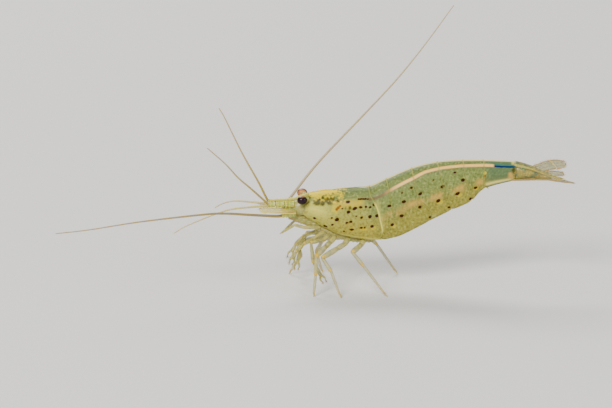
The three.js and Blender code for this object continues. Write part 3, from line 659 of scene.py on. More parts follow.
def fin_paint(colours, name, film, rim_colour, rib_colour):
    paint = Paint(name, {"Coat Weight": 0.4, "Coat Roughness": 0.15, "IOR": 1.4})
    rim, rib, share = paint.mark("rim"), paint.mark("rib"), paint.mark("share")
    fine, clouds, dots = paint.noise(0.2), paint.noise(0.8), paint.cells(0.32).between(0.22, 0.1)
    solid = rib.between(0.2, 0.8) * 0.3 + rim.between(0.7, 1.0) * 0.4
    solid = solid + share.between(0.6, 0.0) * 0.5 + dots * 0.2
    skin = paint.over(film,
                      (fine.between(0.4, 0.65) * 0.7, colours.flank_pale),
                      (share.between(0.45, 0.05) * clouds.between(0.4, 0.6) * 0.6, colours.gut_front),
                      (dots * 0.8, colours.leg_joint),
                      (rib.between(0.25, 0.8) * 0.75, rib_colour),
                      (rim.between(0.78, 0.97) * 0.85, rim_colour))
    return paint.finish(Base_Color=skin, Roughness=fine * 0.2 + 0.2, Alpha=(solid + 0.5).at_most(1.0),
                        height=rib * 0.02 + fine * 0.01)


def hair_paint(name, colour):
    paint = Paint(name, {"Coat Weight": 0.2})
    fine = paint.noise(0.25)
    skin = paint.mix(fine.between(0.35, 0.7), colour, dimmed(colour, 0.6))
    return paint.finish(Base_Color=skin, Roughness=fine * 0.2 + 0.4)


def eye_paint(colours):
    paint = Paint("eye", {"Specular IOR Level": 0.15, "Coat Weight": 0.3, "Coat Roughness": 0.05, "IOR": 1.4})
    up, fine, facets = paint.mark("up"), paint.noise(0.15), paint.cells(0.035)
    root = paint.mark("root") + (fine - 0.5) * 0.35
    skin = paint.over(colours.eye,
                      (fine.between(0.4, 0.65), colours.eye_purple),
                      # top of each eye: partly the eye's real brown rim, partly painted light, coloured
                      # pink-brown as lit from above
                      ((up + (fine - 0.5) * 0.3).between(0.6, 0.84) * 0.85, colours.eye_rim_and_lit_top),
                      (root.between(0.2, 0.6), colours.eye_rim_and_lit_top),
                      (root.between(0.35, 0.95) * 0.8, colours.eye_root))
    return paint.finish(Base_Color=skin, Roughness=fine * 0.1 + 0.3, height=facets * 0.004)


def stalk_paint(colours):
    paint = Paint("stalk", {"Subsurface Weight": 0.25, "Subsurface Scale": 0.0005, "Coat Weight": 0.4,
                            "Coat Roughness": 0.2})
    fine, clouds = paint.noise(0.18), paint.noise(0.7)
    stripes = paint.node("ShaderNodeTexWave", {"bands_direction": "X"}, {
        "Vector": paint.place, "Scale": 560.0, "Distortion": 2.5, "Detail": 2.0}, output="Fac")
    skin = paint.over(colours.stalk,
                      (clouds.between(0.4, 0.62) * 0.35, colours.flank_pale),
                      (stripes.between(0.6, 0.95) * 0.4, colours.back_line),
                      (fine.between(0.5, 0.66) * 0.7, colours.head_yellow),
                      (fine.between(0.42, 0.32) * 0.6, colours.flank_green),
                      (paint.mark("joint"), colours.rib))
    return paint.finish(Base_Color=skin, Roughness=fine * 0.2 + 0.28, height=fine * 0.015)


def telson_paint(colours):
    paint = Paint("telson", {"Subsurface Weight": 0.2, "Subsurface Scale": 0.0005, "Specular IOR Level": 0.2,
                             "Coat Weight": 0.2, "Coat Roughness": 0.25})
    fine, clouds = paint.noise(0.2), paint.noise(0.9)
    skin = paint.over(colours.tail_teal,
                      (clouds.between(0.42, 0.66) * 0.8, colours.flank_olive),
                      (paint.mark("share").between(0.1, 0.9) * clouds.between(0.3, 0.6) * 0.3, colours.band),
                      (paint.mark("rim").between(0.75, 1.0) * 0.5, colours.plate_edge),
                      # painted highlight: pale speckles that stand for wet glints on the telson
                      (fine.between(0.52, 0.74) * 0.45, colours.back_line),
                      (fine.between(0.46, 0.36) * 0.4, colours.fin_rim))
    return paint.finish(Base_Color=skin, Roughness=fine * 0.2 + 0.25, height=fine * 0.012)


def floor_paint(colours):
    paint = Paint("floor", {"Specular IOR Level": 0.2})
    clouds = paint.node("ShaderNodeTexNoise", None, {"Vector": paint.place, "Scale": 9.0, "Detail": 4.0})
    skin = paint.mix(clouds, colours.floor, dimmed(colours.floor, 0.97))
    return paint.finish(Base_Color=skin, Roughness=clouds * 0.1 + 0.75)


# ------------------------------------------------------------------ markings

def paired(section, angle):
    """Places on the left flank and, a little moved, on the right one."""
    section, angle = np.asarray(section, float), np.asarray(angle, float)
    drift = np.random.default_rng(5).normal(0, 1, (2, len(section)))
    return (np.concatenate([section, section + 0.05 * drift[0]]),
            np.concatenate([-angle, angle + 2 * drift[1]]))


def nearest(points, centres, radii, stretch=1.0, tilt=0.0):
    """Mm from each point to the nearest patch's rim; stretch draws patches out at a tilt from X."""
    gap = points[:, None, :] - centres[None, :, :]
    along = gap[..., 0] * np.cos(tilt) + gap[..., 2] * np.sin(tilt)
    gap[..., 2] = gap[..., 2] * np.cos(tilt) - gap[..., 0] * np.sin(tilt)
    gap[..., 0] = along / stretch
    return (np.linalg.norm(gap, axis=-1) - radii[None, :]).min(1)


def spot_places():
    """Centres of the dark spots on both flanks, and their sizes."""
    section, angle, size = zip(*[(s, row + off, size) for row, places in SPOT_ROWS.items()
                                 for s, off, size in places])
    return form_at(BODY, *paired(section, angle)), np.tile(size, 2)


def patch_places(patches):
    """Centres of patches on both flanks, and their radii."""
    section, angle, radii = np.array(patches).T
    return form_at(BODY, *paired(section, angle)), np.tile(radii, 2)


def line_places(stops):
    """Close-set places along a line on both flanks."""
    section, angle = np.array(stops, float).T
    share = np.linspace(0, len(stops) - 1, 240)
    section, angle = np.interp(share, range(len(stops)), section), np.interp(share, range(len(stops)), angle)
    return np.concatenate([form_at(BODY, section, -angle), form_at(BODY, section, angle)])


def markings(section, angle, edge, seam, sizes):
    """The numbers that the shell's finish reads, for places on the body form."""
    points = form_at(BODY, section, angle)
    side = np.abs(angle)
    rng = np.random.default_rng(8)
    spots, scale = spot_places()
    radii = sizes.spot_radius / MM * scale
    stretch, tilt = rng.uniform(1.15, 1.8, len(spots)), rng.uniform(0, 0.7, len(spots))
    low_row = [(s + 0.05, 116 + off, 0.24 * size) for s, off, size in SPOT_ROWS[112]]
    low_spots, low_radii = patch_places(low_row)
    gut_angle = np.interp(section, *np.array(GUT_LINE).T)
    none = np.zeros(1)
    crest = form_at(BODY, section, np.zeros_like(section))
    return {
        "down": side / 180,
        "along": section / 10,
        "edge": edge,
        "spots": nearest(points, spots, radii, stretch, tilt),
        "halos": nearest(points, low_spots, low_radii, 1.3),
        "warm": nearest(points, *patch_places(WARM_PATCHES)),
        "yellow": nearest(points, *patch_places(YELLOW_PATCHES)),
        "dark": nearest(points, *patch_places(DARK_PATCHES)),
        "gut": nearest(points, line_places(GUT_LINE), none) + 0.04 * smooth(section, 5.3, 4.7),
        "gut_low": (side - gut_angle) / 16 + 0.5,
        "glow": nearest(points, line_places(GLOW_LINE), none),
        "band": nearest(points, line_places(FLANK_BAND), none),
        "ridge": np.linalg.norm(points - crest, axis=1) + 0.5 * smooth(section, 3.9, 2.7),
        "head_top": smooth(section, 3.0, 1.5) * (0.5 * smooth(side, 68, 56) + 0.5 * smooth(side, 40, 16)),
        "cheek": np.maximum(np.exp(-((section - 0.7) / 0.8) ** 2 - ((side - 92) / 20) ** 2),
                            0.4 * np.exp(-((section - 4.3) / 0.14) ** 2) * smooth(side, 50, 66)
                            * smooth(side, 130, 108))
        + 0.8 * smooth(side, 141, 150) * smooth(section, 1.5, 2.4) * smooth(section, 4.05, 3.9),
        "low": smooth(section, 8.95, 9.1) * np.exp(-((side - 131) / 10) ** 2),
        "collar": smooth(section, 9.86, 9.9) * smooth(side, 66, 58),
        "tan": smooth(section, 9.74, 9.86) * smooth(side, 80, 90) * smooth(side, 134, 122),
        "seam": seam * np.ones_like(section),
    }


# ------------------------------------------------------------------ body pieces

def plate(name, front, back, lift, sizes, end=PLATE_END, columns=48, rows=150, corner=0.05):
    """A shell plate; front(angle) and back(angle) are section numbers, lift(share, side) is mm outwards."""
    def spread(u, v):
        angle = (2 * v - 1) * end * (1 - corner * np.abs(2 * u - 1) ** 6)
        first, last = front(np.abs(angle)), back(np.abs(angle))
        return first + (last - first) * u, angle, last - first

    def place(u, v):
        section, angle, _ = spread(u, v)
        return form_at(BODY, section, angle, lift(u, np.abs(angle)))

    def values(u, v):
        section, angle, length = spread(u, v)
        side = np.abs(angle)
        is_front = section.max() < NECK + 1
        if is_front:
            seam = 0.2 + 0.8 * smooth(side, 56, 66) * smooth(side, 136, 118)
        else:
            seam = 0.2 + 0.25 * smooth(side, 48, 30)
        behind = (1 - u) * length * (1.8 if is_front else 4.8)
        return markings(section, angle, np.minimum(behind, (end - side) * 0.055), seam, sizes)

    piece = shaped_grid(name, columns, rows, place, values, merge=False)
    modify(piece, "SOLIDIFY", thickness=sizes.plate_thickness, offset=-1)
    return piece


def full_form(name, rows, low, high, grow=0.0, steps=60, sides=64, cap=0.06, bumps=0.0):
    """A closed body form with rounded ends, from one section number to another."""
    def place(u, v):
        share = eased(u)
        section = low + (high - low) * share
        out = rounded(np.minimum(share, 1 - share) / cap)
        ripple = bumps * np.sin(section * 2 * np.pi * 6) * smooth(np.cos(2 * np.pi * v), 0.2, -0.6)
        return form_at(rows, section, v * 360, grow + ripple, out)

    return shaped_grid(name, steps, sides, place)


def flesh_at(u, v):
    """The abdomen's flesh, cut off flat above the swimming legs, with a ridge across it at each segment."""
    share = eased(u)
    section = 3.9 + 6.07 * share
    hollow = smooth(section, 4.1, 4.5) * smooth(section, 9.25, 8.9)
    keep = 1 - (1 - FLESH_SHARE) * hollow
    cut = np.degrees(np.arccos(np.clip(1 - 2 * keep, -1, 1)))
    angle = np.where(v > 0.5, 360 * v - 360, 360 * v)
    side = np.abs(angle)
    past = np.clip((side - cut) / np.maximum(180 - cut, 1e-6), 0, 1)
    out = rounded(np.minimum(share, 1 - share) / 0.012)
    spot = form_at(BODY, section, np.sign(angle) * np.minimum(side, cut), -0.16, out)
    spot[:, 1] *= 1 - past
    spot[:, 2] -= (0.1 + 0.1 * np.cos(2 * np.pi * section)) * np.sin(past * np.pi / 2) * hollow
    return spot


def make_flesh(look, sizes):
    trunk = full_form("thorax_flesh", BODY, 0.15, 4.3, -0.16, steps=50)
    finish_piece(trunk, look["flesh"], "shell")
    core = shaped_grid("abdomen_flesh", 180, 96, flesh_at)
    finish_piece(core, look["flesh"], "shell")


def make_carapace(look, sizes):
    def front(side):
        orbit = 0.36 * np.exp(-((side - 52) / 17) ** 2)
        spine = -0.20 * np.exp(-((side - 88) / 5) ** 2)
        corner = -0.10 * np.exp(-((side - 128) / 7) ** 2)
        return 0.05 + orbit + spine + corner + 0.5 * smooth(side, 132, 158)

    def back(side):
        return NECK + 0.02 + 0.3 * smooth(side, 30, 85) - 0.28 * smooth(side, 118, 158)

    def lift(u, side):
        groove = -0.05 * np.exp(-((u - 0.42 + side * 0.0009) / 0.035) ** 2) * smooth(side, 66, 92)
        branchial = 0.04 * np.exp(-((side - 94) / 5) ** 2) * smooth(u, 0.1, 0.2) * smooth(u, 0.6, 0.3)
        return 0.05 + groove + branchial + 0.05 * smooth(u, 0.985, 1.0)

    piece = plate("carapace_shell", front, back, lift, sizes, columns=150, rows=190, corner=0.03)
    finish_piece(piece, look["shell"], "shell", "carapace")


def make_abdomen(look, sizes):
    for number in range(1, SEGMENTS + 1):
        first, last = NECK + number - 1, NECK + number
        lobe = PLEURON_REACH if number == 2 else 0.0

        def front(side, first=first, lobe=lobe):
            return first - 0.08 - lobe * smooth(side, 85, 125) + 0.12 * (lobe == 0) * smooth(side, 110, 150)

        def back(side, last=last, lobe=lobe, number=number):
            droop = (lobe + 0.10 * (number in (3, 4))) * smooth(side, 85, 125)
            return last + 0.03 + droop - 0.1 * (number == 1) * smooth(side, 110, 150)

        def lift(u, side, number=number):
            tuck = -0.10 * smooth(u, 0.16, 0.0) * (1 - smooth(side, 80, 110) * (number == 2))
            over = 0.08 * smooth(side, 85, 110) * (number == 2)
            return 0.02 + tuck + over + 0.05 * smooth(u, 0.9, 1.0)

        end = 178.0 if number == SEGMENTS else PLATE_END
        piece = plate(f"abdomen_shell_{number}", front, back, lift, sizes, end=end,
                      corner=0.0 if number == SEGMENTS else 0.07)
        finish_piece(piece, look["shell"], "shell", f"abdomen_{number}")


def make_rostrum(look, sizes):
    back = Line([(x, 0, z) for x, z in ROSTRUM])

    def place(u, v):
        centre, _, _, _ = back.at(u)
        turn = 2 * np.pi * v
        depth = graded(u, 0.02, 0.3, 0.5, 0.66, 0.75, 0.7, 0.5, 0.2)
        tooth = sizes.tooth / MM
        dorsal = tooth * (1 - (u * sizes.teeth) % 1) * smooth(u, 0.06, 0.12) * smooth(u, 0.99, 0.93)
        belly = tooth * ((u * sizes.teeth * 0.7) % 1) * smooth(u, 0.1, 0.16) * smooth(u, 0.6, 0.5)
        height = np.where(np.cos(turn) > 0, 0.06 * smooth(u, 1.0, 0.8) + dorsal, depth + belly * 0.8)
        carina = np.abs(np.sin(turn)) ** 1.6 * graded(u, 0.05, 0.13, 0.18, 0.22, 0.24, 0.14, 0.01)
        spot = centre + [0, 0, 1] * (np.sign(np.cos(turn)) * np.abs(np.cos(turn)) ** 1.3 * height)[:, None]
        return spot + [0, 1, 0] * (np.sign(np.sin(turn)) * carina)[:, None]

    def values(u, v):
        turn = 2 * np.pi * v
        section = np.full_like(u, 0.4)
        marks = markings(section, np.where(np.cos(turn) > 0, 20.0, 60.0), np.ones_like(u), 0.0, sizes)
        plain = {key: np.ones_like(u) for key in ("spots", "halos", "warm", "yellow", "dark", "glow", "gut")}
        root = smooth(u, 0.55, 0.85)
        marks.update(plain, ridge=1 - np.cos(turn) + root, head_top=0.15 + 0.85 * root,
                     cheek=0.7 * (1 - root))
        return marks

    piece = shaped_grid("rostrum_blade", 480, 24, place, values)
    finish_piece(piece, look["shell"], "shell", "rostrum", smooth_angle=40)


def make_head(look, sizes):
    head = full_form("head_block", HEAD, 0.0, 2.0, -0.03, steps=40, cap=0.12)
    finish_piece(head, look["flesh"], "shell", "head")
    sternum = full_form("sternum_block", STERNUM, 0.0, 3.0, 0.0, steps=110, cap=0.05, bumps=0.05)
    finish_piece(sternum, look["flesh"], "shell", "sternum")
    lobes = [full_form("mouth_block", MOUTHPARTS, 0.0, 2.0, -0.12, steps=30, sides=32, cap=0.12)]
    tufts, count = [], 44
    rng = np.random.default_rng(3)
    for side in ("left", "right"):
        for k in range(5):
            x, z, out = 0.5 - 0.75 * k, 9.9 + 0.28 * k, 0.92 - 0.05 * k
            line = Line(placed([(x, out * 0.8, z), (x - 0.95, out, z - 0.3), (x - 1.75, out * 0.8, z - 0.15),
                                (x - 2.2, out * 0.5, z + 0.25)], side), (0, 0, 1))
            lobes.append(tube(f"lobe_{side}_{k}", line, profile(0.25, 0.42, 0.44, 0.34, 0.2, 0.06),
                              profile(0.12, 0.13, 0.1, 0.05), sides=20, steps=24))
            spots, ahead, up, _ = line.at(rng.uniform(0.3, 0.72, count))
            low = spots - up * 0.25
            tufts.append((low, low + ahead * 0.28 - up * rng.uniform(0.1, 0.3, (count, 1))))
    finish_piece(joined("mouth_lobes", lobes), look["flesh"], "shell", "mouthparts")
    brush("mouth_setae", tufts, BRISTLE_RADII["mouth"], look["hair"], "leg")


def make_eyes(look, sizes):
    for side in ("left", "right"):
        centre, root = placed([EYE, EYESTALK_ROOT], side)
        bpy.ops.object.select_all(action="DESELECT")
        bpy.ops.mesh.primitive_uv_sphere_add(segments=48, ring_count=32, radius=EYE_RADIUS * MM)
        ball = bpy.context.active_object
        bpy.ops.object.mode_set(mode="EDIT")
        bpy.ops.mesh.select_all(action="SELECT")
        bpy.ops.transform.resize(value=EYE_SHAPE)
        bpy.ops.transform.translate(value=[part * MM for part in centre])
        bpy.ops.object.mode_set(mode="OBJECT")
        spots = np.array([corner.co[:] for corner in ball.data.vertices]) / MM
        away = (spots - centre) / EYE_RADIUS
        keep_numbers(ball, {"up": away[:, 2], "root": -sign_of(side) * away[:, 1] * 0.9 + 0.1})
        finish_piece(joined(f"eye_ball_{side}", [ball]), look["eye"], "eye", f"eye_{side}")
        line = Line([root, np.array(centre) + (np.array(root) - centre) * 0.22], (0, 0, 1))
        stalk = tube(f"eye_stalk_{side}", line, profile(0.36, 0.36, 0.42, 0.52, 0.56), sides=28)
        finish_piece(stalk, look["flesh"], "shell", f"eyestalk_{side}")


# ------------------------------------------------------------------ feelers

def stalk_part(name, start, end, radius, girths, sides, steps, joint_from, joint):
    """One length of a feeler's stalk, whose far end is coloured by joint from a share of its length on."""
    return tube(name, Line([start, end]), profile(*girths, scale=radius), sides=sides, steps=steps,
                values=lambda s, v: {"joint": smooth(s, joint_from, 1.0) * joint}, blunt=0.3)


def whip(name, points, root_radius, tip_radius, material, *nodes, steps):
    """A ringed whip that thins towards its tip."""
    line = Line(points)
    piece = tube(name, line, lambda s: (root_radius + (tip_radius - root_radius) * s ** 0.8) / MM, sides=10,
                 steps=steps, values=lambda s, v: {"run": s * line.length, "share": s})
    return finish_piece(piece, material, "feeler", *nodes)


def make_antennules(look, sizes):
    rng = np.random.default_rng(13)
    for side in ("left", "right"):
        joints = [np.add(joint, (0, 0, 0.06)) for joint in placed(ANTENNULE_STEM, side)]
        tufts = [bristles(joints[k], joints[k + 1], 16, 0.1, 1.0, 0.3, 0.6, rng, 0.42) for k in range(3)]
        brush(f"antennule_setae_{side}", tufts, BRISTLE_RADII["antennule"], look["hair"], "feeler")
        parts = [stalk_part(f"stem_{side}_{k}", joints[k], joints[k + 1], radius,
                            (1.0, 0.9, 0.88, 0.93, 1.02), 28, 30, 0.8, 0.4)
                 for k, radius in enumerate(ANTENNULE_RADII)]
        parts.append(tube(f"stylocerite_{side}", Line(placed(STYLOCERITE, side)), profile(0.16, 0.12, 0.01),
                          sides=10, values=lambda s, v: {"joint": 0 * s}))
        stalk = joined(f"antennule_stalk_{side}", parts)
        finish_piece(stalk, look["stalk"], "shell", f"antennule_stem_{side}")
    for name, points in ANTENNULES.items():
        kind, side = name.split("_")
        start = placed([(-7.3, points[0][1], points[0][2])], side)
        whip(f"antennule_whip_{name}", start + placed(points, side), sizes.whip_root * 0.95, sizes.whip_tip,
             look[f"whip_{kind}"], f"antennule_{name}", steps=160)


def make_antennae(look, sizes):
    rng = np.random.default_rng(11)
    for side in ("left", "right"):
        root, end = [np.array(p) for p in placed(ANTENNA_BASE, side)]
        reach = end - root
        parts = [stalk_part(f"base_{side}_{k}", root + reach * low, root + reach * high, radius,
                            (1.0, 0.92, 0.95, 1.02), 24, 24, 0.75, 0.5)
                 for k, (low, high, radius) in enumerate(ANTENNA_LENGTHS)]
        finish_piece(joined(f"antenna_stalk_{side}", parts), look["stalk"], "shell", f"antenna_base_{side}")
        points = [end] + placed(ANTENNAE[side], side)
        whip(f"antenna_whip_{side}", points, sizes.whip_root * 1.15, sizes.whip_tip, look[f"antenna_{side}"],
             *[f"antenna_{k}_{side}" for k in (1, 2, 3)], steps=420)
        line = Line(placed(ANTENNA_SCALE, side), (0, sign_of(side), -0.25))
        wide = leaf(line, SCALE_OUTLINE)
        blade = fin_blade(f"antenna_leaf_{side}", line, wide, 0.09, ribs=(0.05, 0.66, 0.86))
        thorn = tube(f"antenna_thorn_{side}", Line(placed(SCALE_THORN, side)), profile(0.1, 0.09, 0.015),
                     sides=12, values=lambda s, v: {"rim": 1, "rib": 1, "share": s})
        scale = joined(f"antenna_blade_{side}", [blade, thorn])
        finish_piece(scale, look["scale"], "fin", f"antenna_scale_{side}")
        share = np.concatenate([rng.uniform(0.3, 0.97, 110), rng.uniform(0.93, 0.999, 30)])
        fringe(f"antenna_fringe_{side}", line, wide, share, -1, 0.5, look["hair"], rng)


def leaf(line, outline, tip=0.8):
    """Half width in mm of a leaf at shares of its length; its tip rounds off over tip widths."""
    def wide(share):
        width = graded(share, *outline)
        left = np.clip((1 - share) * line.length / (tip * max(outline)), 0, 1)
        return width * np.sqrt(1 - (1 - left) ** 2) + 1e-4

    return wide


def fin_blade(name, line, wide, thick, ribs=(0.0,), suture=NO_SUTURE, columns=90, sides=48):
    """A thin blade with raised ribs at places across it from -1 to 1; a suture crosses it at a share."""
    def ridges(share, turn):
        across = np.sin(turn)
        rib = sum(np.exp(-((across - place) / 0.09) ** 2) for place in ribs) * (1 - 0.6 * share)
        seam = np.exp(-((share - suture + 0.06 * across) / 0.012) ** 2)
        veins = 0.35 * np.maximum(np.sin(across * 26 + share * 5), 0) ** 4 * smooth(share, 0.3, 0.6)
        return np.minimum(rib + seam + veins, 1)

    def values(share, v):
        rim = np.maximum(np.abs(np.sin(2 * np.pi * v)), smooth(share, 0.93, 1.0))
        return {"rim": rim, "rib": ridges(share, 2 * np.pi * v), "share": share}

    def hook(spot, share, turn):
        _, _, _, up = line.at(share)
        return spot + up * (np.sign(np.cos(turn)) * ridges(share, turn) * 0.04)[:, None]

    return tube(name, line, wide, lambda s: np.full_like(s, thick), sides, columns, values, hook)


def fringe(name, line, wide, share, edge, length, material, rng):
    """A comb of bristles along a blade's edge: -1, 1 or 0 for both edges."""
    centre, ahead, side, up = line.at(share)
    sign = np.full(len(share), float(edge)) if edge else rng.choice([-1.0, 1.0], len(share))
    root = centre + side * (sign * wide(share) * 0.96)[:, None]
    lean = ahead * 0.75 + side * sign[:, None] * (0.75 - 0.6 * smooth(share, 0.85, 1.0))[:, None]
    lean += up * rng.normal(0, 0.05, (len(share), 1))
    tip = root + lean * length * rng.uniform(0.7, 1.1, (len(share), 1))
    return finish_piece(hairs(name, root - lean * 0.08, tip, BRISTLE_RADII["fringe"]), material, "fin")


# ------------------------------------------------------------------ legs

def limb_part(name, start, end, radius, girths, joint, flat=1.0, sides=20, steps=22, clear=0.0):
    """One length of a limb; joint is how strongly its far end is coloured, clear how pale the rest is."""
    start, end = np.asarray(start, float), np.asarray(end, float)
    ahead = (end - start) / np.linalg.norm(end - start)
    line = Line([start - ahead * radius * 0.4, end + ahead * radius * 0.4])

    def marks(share, v):
        return {"joint": joint * (smooth(share, 0.74, 0.97) + 0.5 * smooth(share, 0.1, 0.0)), "clear": clear}

    return tube(name, line, profile(*girths, scale=radius), profile(*girths, scale=radius * flat), sides,
                steps, marks, blunt=0.7)


def joints_of(points, side, thigh):
    """A leg's joints on its side, with one more at a share of its second length."""
    joints = [np.array(p) for p in placed(points, side)]
    joints.insert(2, joints[1] + (joints[2] - joints[1]) * thigh)
    return joints


def bristles(line_start, line_end, count, low, high, length, lean, rng, radius=0.2):
    """Roots and tips of bristles along a length of limb, from low to high shares of it."""
    start, end = np.asarray(line_start, float), np.asarray(line_end, float)
    ahead = (end - start) / np.linalg.norm(end - start)
    share = rng.uniform(low, high, (count, 1))
    out = rng.normal(0, 1, (count, 3))
    out -= ahead * (out @ ahead)[:, None]
    out /= np.linalg.norm(out, axis=1)[:, None]
    root = start + (end - start) * share + out * radius * 0.8
    return root, root + (out * (1 - lean) + ahead * lean) * length * rng.uniform(0.6, 1.1, (count, 1))


def make_mouth_legs(look, sizes):
    rng = np.random.default_rng(21)
    for side, points in MOUTH_LEGS.items():
        joints = [np.array(p) for p in placed(points, side)]
        parts, tufts = [], []
        for k, (radius, count, girth, joint, seat) in enumerate(MOUTH_LEG_LENGTHS):
            start, end = joints[k:k + 2]
            parts.append(limb_part(f"mouth_leg_part_{side}_{k}", start, end, radius * sizes.leg_girth,
                                   (0.85, 1.0, 0.95, 0.9, girth), joint))
            tufts.append(bristles(start, end, count, 0.1, 0.92, 0.38, 0.45, rng, radius * seat))
        finish_piece(joined(f"mouth_leg_{side}_limb", parts), look["leg"], "leg", f"mouth_leg_{side}")
        brush(f"mouth_leg_{side}_setae", tufts, BRISTLE_RADII["mouth_leg"], look["hair"], "leg")


def make_claw_legs(look, sizes):
    rng = np.random.default_rng(22)
    for name, points in CLAW_LEGS.items():
        joints = joints_of(points, name, 0.38)
        parts = [limb_part(f"claw_part_{name}_{k}", *joints[k:k + 2], radius * sizes.leg_girth, girths, warm)
                 for k, (radius, girths, warm) in enumerate(CLAW_LENGTHS)]
        wrist, tip = joints[-2], joints[-1]
        ahead = (tip - wrist) / np.linalg.norm(tip - wrist)
        length = np.linalg.norm(tip - wrist)
        side = np.cross(ahead, (0, 1, 0))
        side /= np.linalg.norm(side)
        palm_end = wrist + ahead * (length - 0.95)
        parts.append(limb_part(f"palm_{name}", wrist, palm_end, 0.34 * sizes.leg_girth,
                               (0.6, 0.95, 1.1, 1.15, 1.0), 0.3, flat=0.75))
        tufts, count = [], 46
        for which, splay in ((-1, 0.26), (1, 0.30)):
            root = palm_end + side * which * 0.13 - ahead * 0.12
            middle = palm_end + side * which * 0.36 + ahead * 0.45
            end = palm_end + side * which * splay + ahead * 0.92
            line = Line([root, middle, end])
            parts.append(tube(f"finger_{name}_{which}", line, profile(0.16, 0.17, 0.14, 0.05), sides=14,
                              steps=20, values=lambda s, v: {"joint": 0.35 * smooth(s, 0.6, 1.0)}))
            spread = rng.normal(0, 0.16, (count, 3))
            low = end - ahead * 0.08 + spread * 0.12
            tufts.append((low, low + ahead * rng.uniform(0.25, 0.5, (count, 1)) + spread))
        tufts.append(bristles(joints[2], joints[3], 12, 0.2, 0.9, 0.24, 0.5, rng, 0.33))
        finish_piece(joined(f"claw_leg_{name}_limb", parts), look["leg"], "leg", f"claw_leg_{name}")
        brush(f"claw_leg_{name}_brush", tufts, BRISTLE_RADII["claw"], look["hair"], "leg")


def make_walking_legs(look, sizes):
    rng = np.random.default_rng(23)
    for name, points in WALKING_LEGS.items():
        joints = joints_of(points, name, 0.3)
        shin = joints[-1] - joints[-2]
        joints.insert(5, joints[-2] + shin * 0.86)
        parts = [limb_part(f"walk_part_{name}_{k}", *joints[k:k + 2], radius * sizes.leg_girth, girths, warm,
                           clear=clear) for k, (radius, girths, warm, clear) in enumerate(WALKING_LENGTHS)]
        ahead = shin / np.linalg.norm(shin)
        toe = joints[-1] + [0, 0, 0.01]
        line = Line([joints[-2] - ahead * 0.1, (joints[-2] + toe) / 2 + [0.072, 0, 0], toe])
        parts.append(tube(f"toe_{name}", line, profile(0.15, 0.13, 0.09, 0.03), sides=12, steps=16,
                          values=lambda s, v: {"joint": 0.35 + 0.3 * s}))
        spines = [bristles(joints[k], joints[k + 1], count, 0.15, high, length, 0.5, rng, radius)
                  for k, count, high, length, radius in WALKING_SPINES]
        finish_piece(joined(f"walking_leg_{name}_limb", parts), look["leg"], "leg", f"walking_leg_{name}")
        brush(f"walking_leg_{name}_spines", spines, BRISTLE_RADII["walking"], look["hair"], "leg")


# ------------------------------------------------------------------ swimming legs and tail

def make_swimmerets(look, sizes):
    rng = np.random.default_rng(31)

    def room_at(section):
        return float(spline(BODY, np.array([section]))[0, 4]) - 2 * SWIMMERET_ROOM

    for k in range(5):
        section = NECK + k + 0.4
        room = room_at(section)
        top, low = form_at(BODY, np.array([section, section]), np.array([0.0, 180.0]))
        root = top + (low - top) * (FLESH_SHARE - 0.06)
        length = SWIMMERET_LENGTH * (0.4 + 0.6 * room / room_at(NECK))
        heading = np.array([0.9 + 0.25 * k, 0, -1])
        heading /= np.linalg.norm(heading)
        for side in ("left", "right"):
            sign = sign_of(side)
            start = root + [0, sign * room * 0.5, 0]
            knee = start + heading * length * 0.34
            parts = [limb_part(f"swim_base_{k}_{side}", start, knee, 0.3 * room / 1.8,
                               (0.9, 1.0, 1.0, 0.8), 0.2)]
            for which, out in (("outer", 0.22), ("inner", -0.2)):
                aside = np.array([0, sign * out, 0])
                end = knee + heading * length * 0.64 + aside
                line = Line([knee + aside * 0.4, (knee + end) / 2 + aside * 0.6, end])
                wide = leaf(line, [w * room * 0.26 for w in SWIMMERET_OUTLINE])
                parts.append(fin_blade(f"swim_{k}_{side}_{which}", line, wide, 0.05, columns=40, sides=24))
                fringe(f"swimmeret_{k + 1}_{side}_{which}_setae", line, wide, rng.uniform(0.25, 0.999, 80), 0,
                       0.36, look["hair"], rng)
            finish_piece(joined(f"swimmeret_{k + 1}_{side}_limb", parts), look["swim"], "fin",
                         f"swimmeret_{k + 1}_{side}")


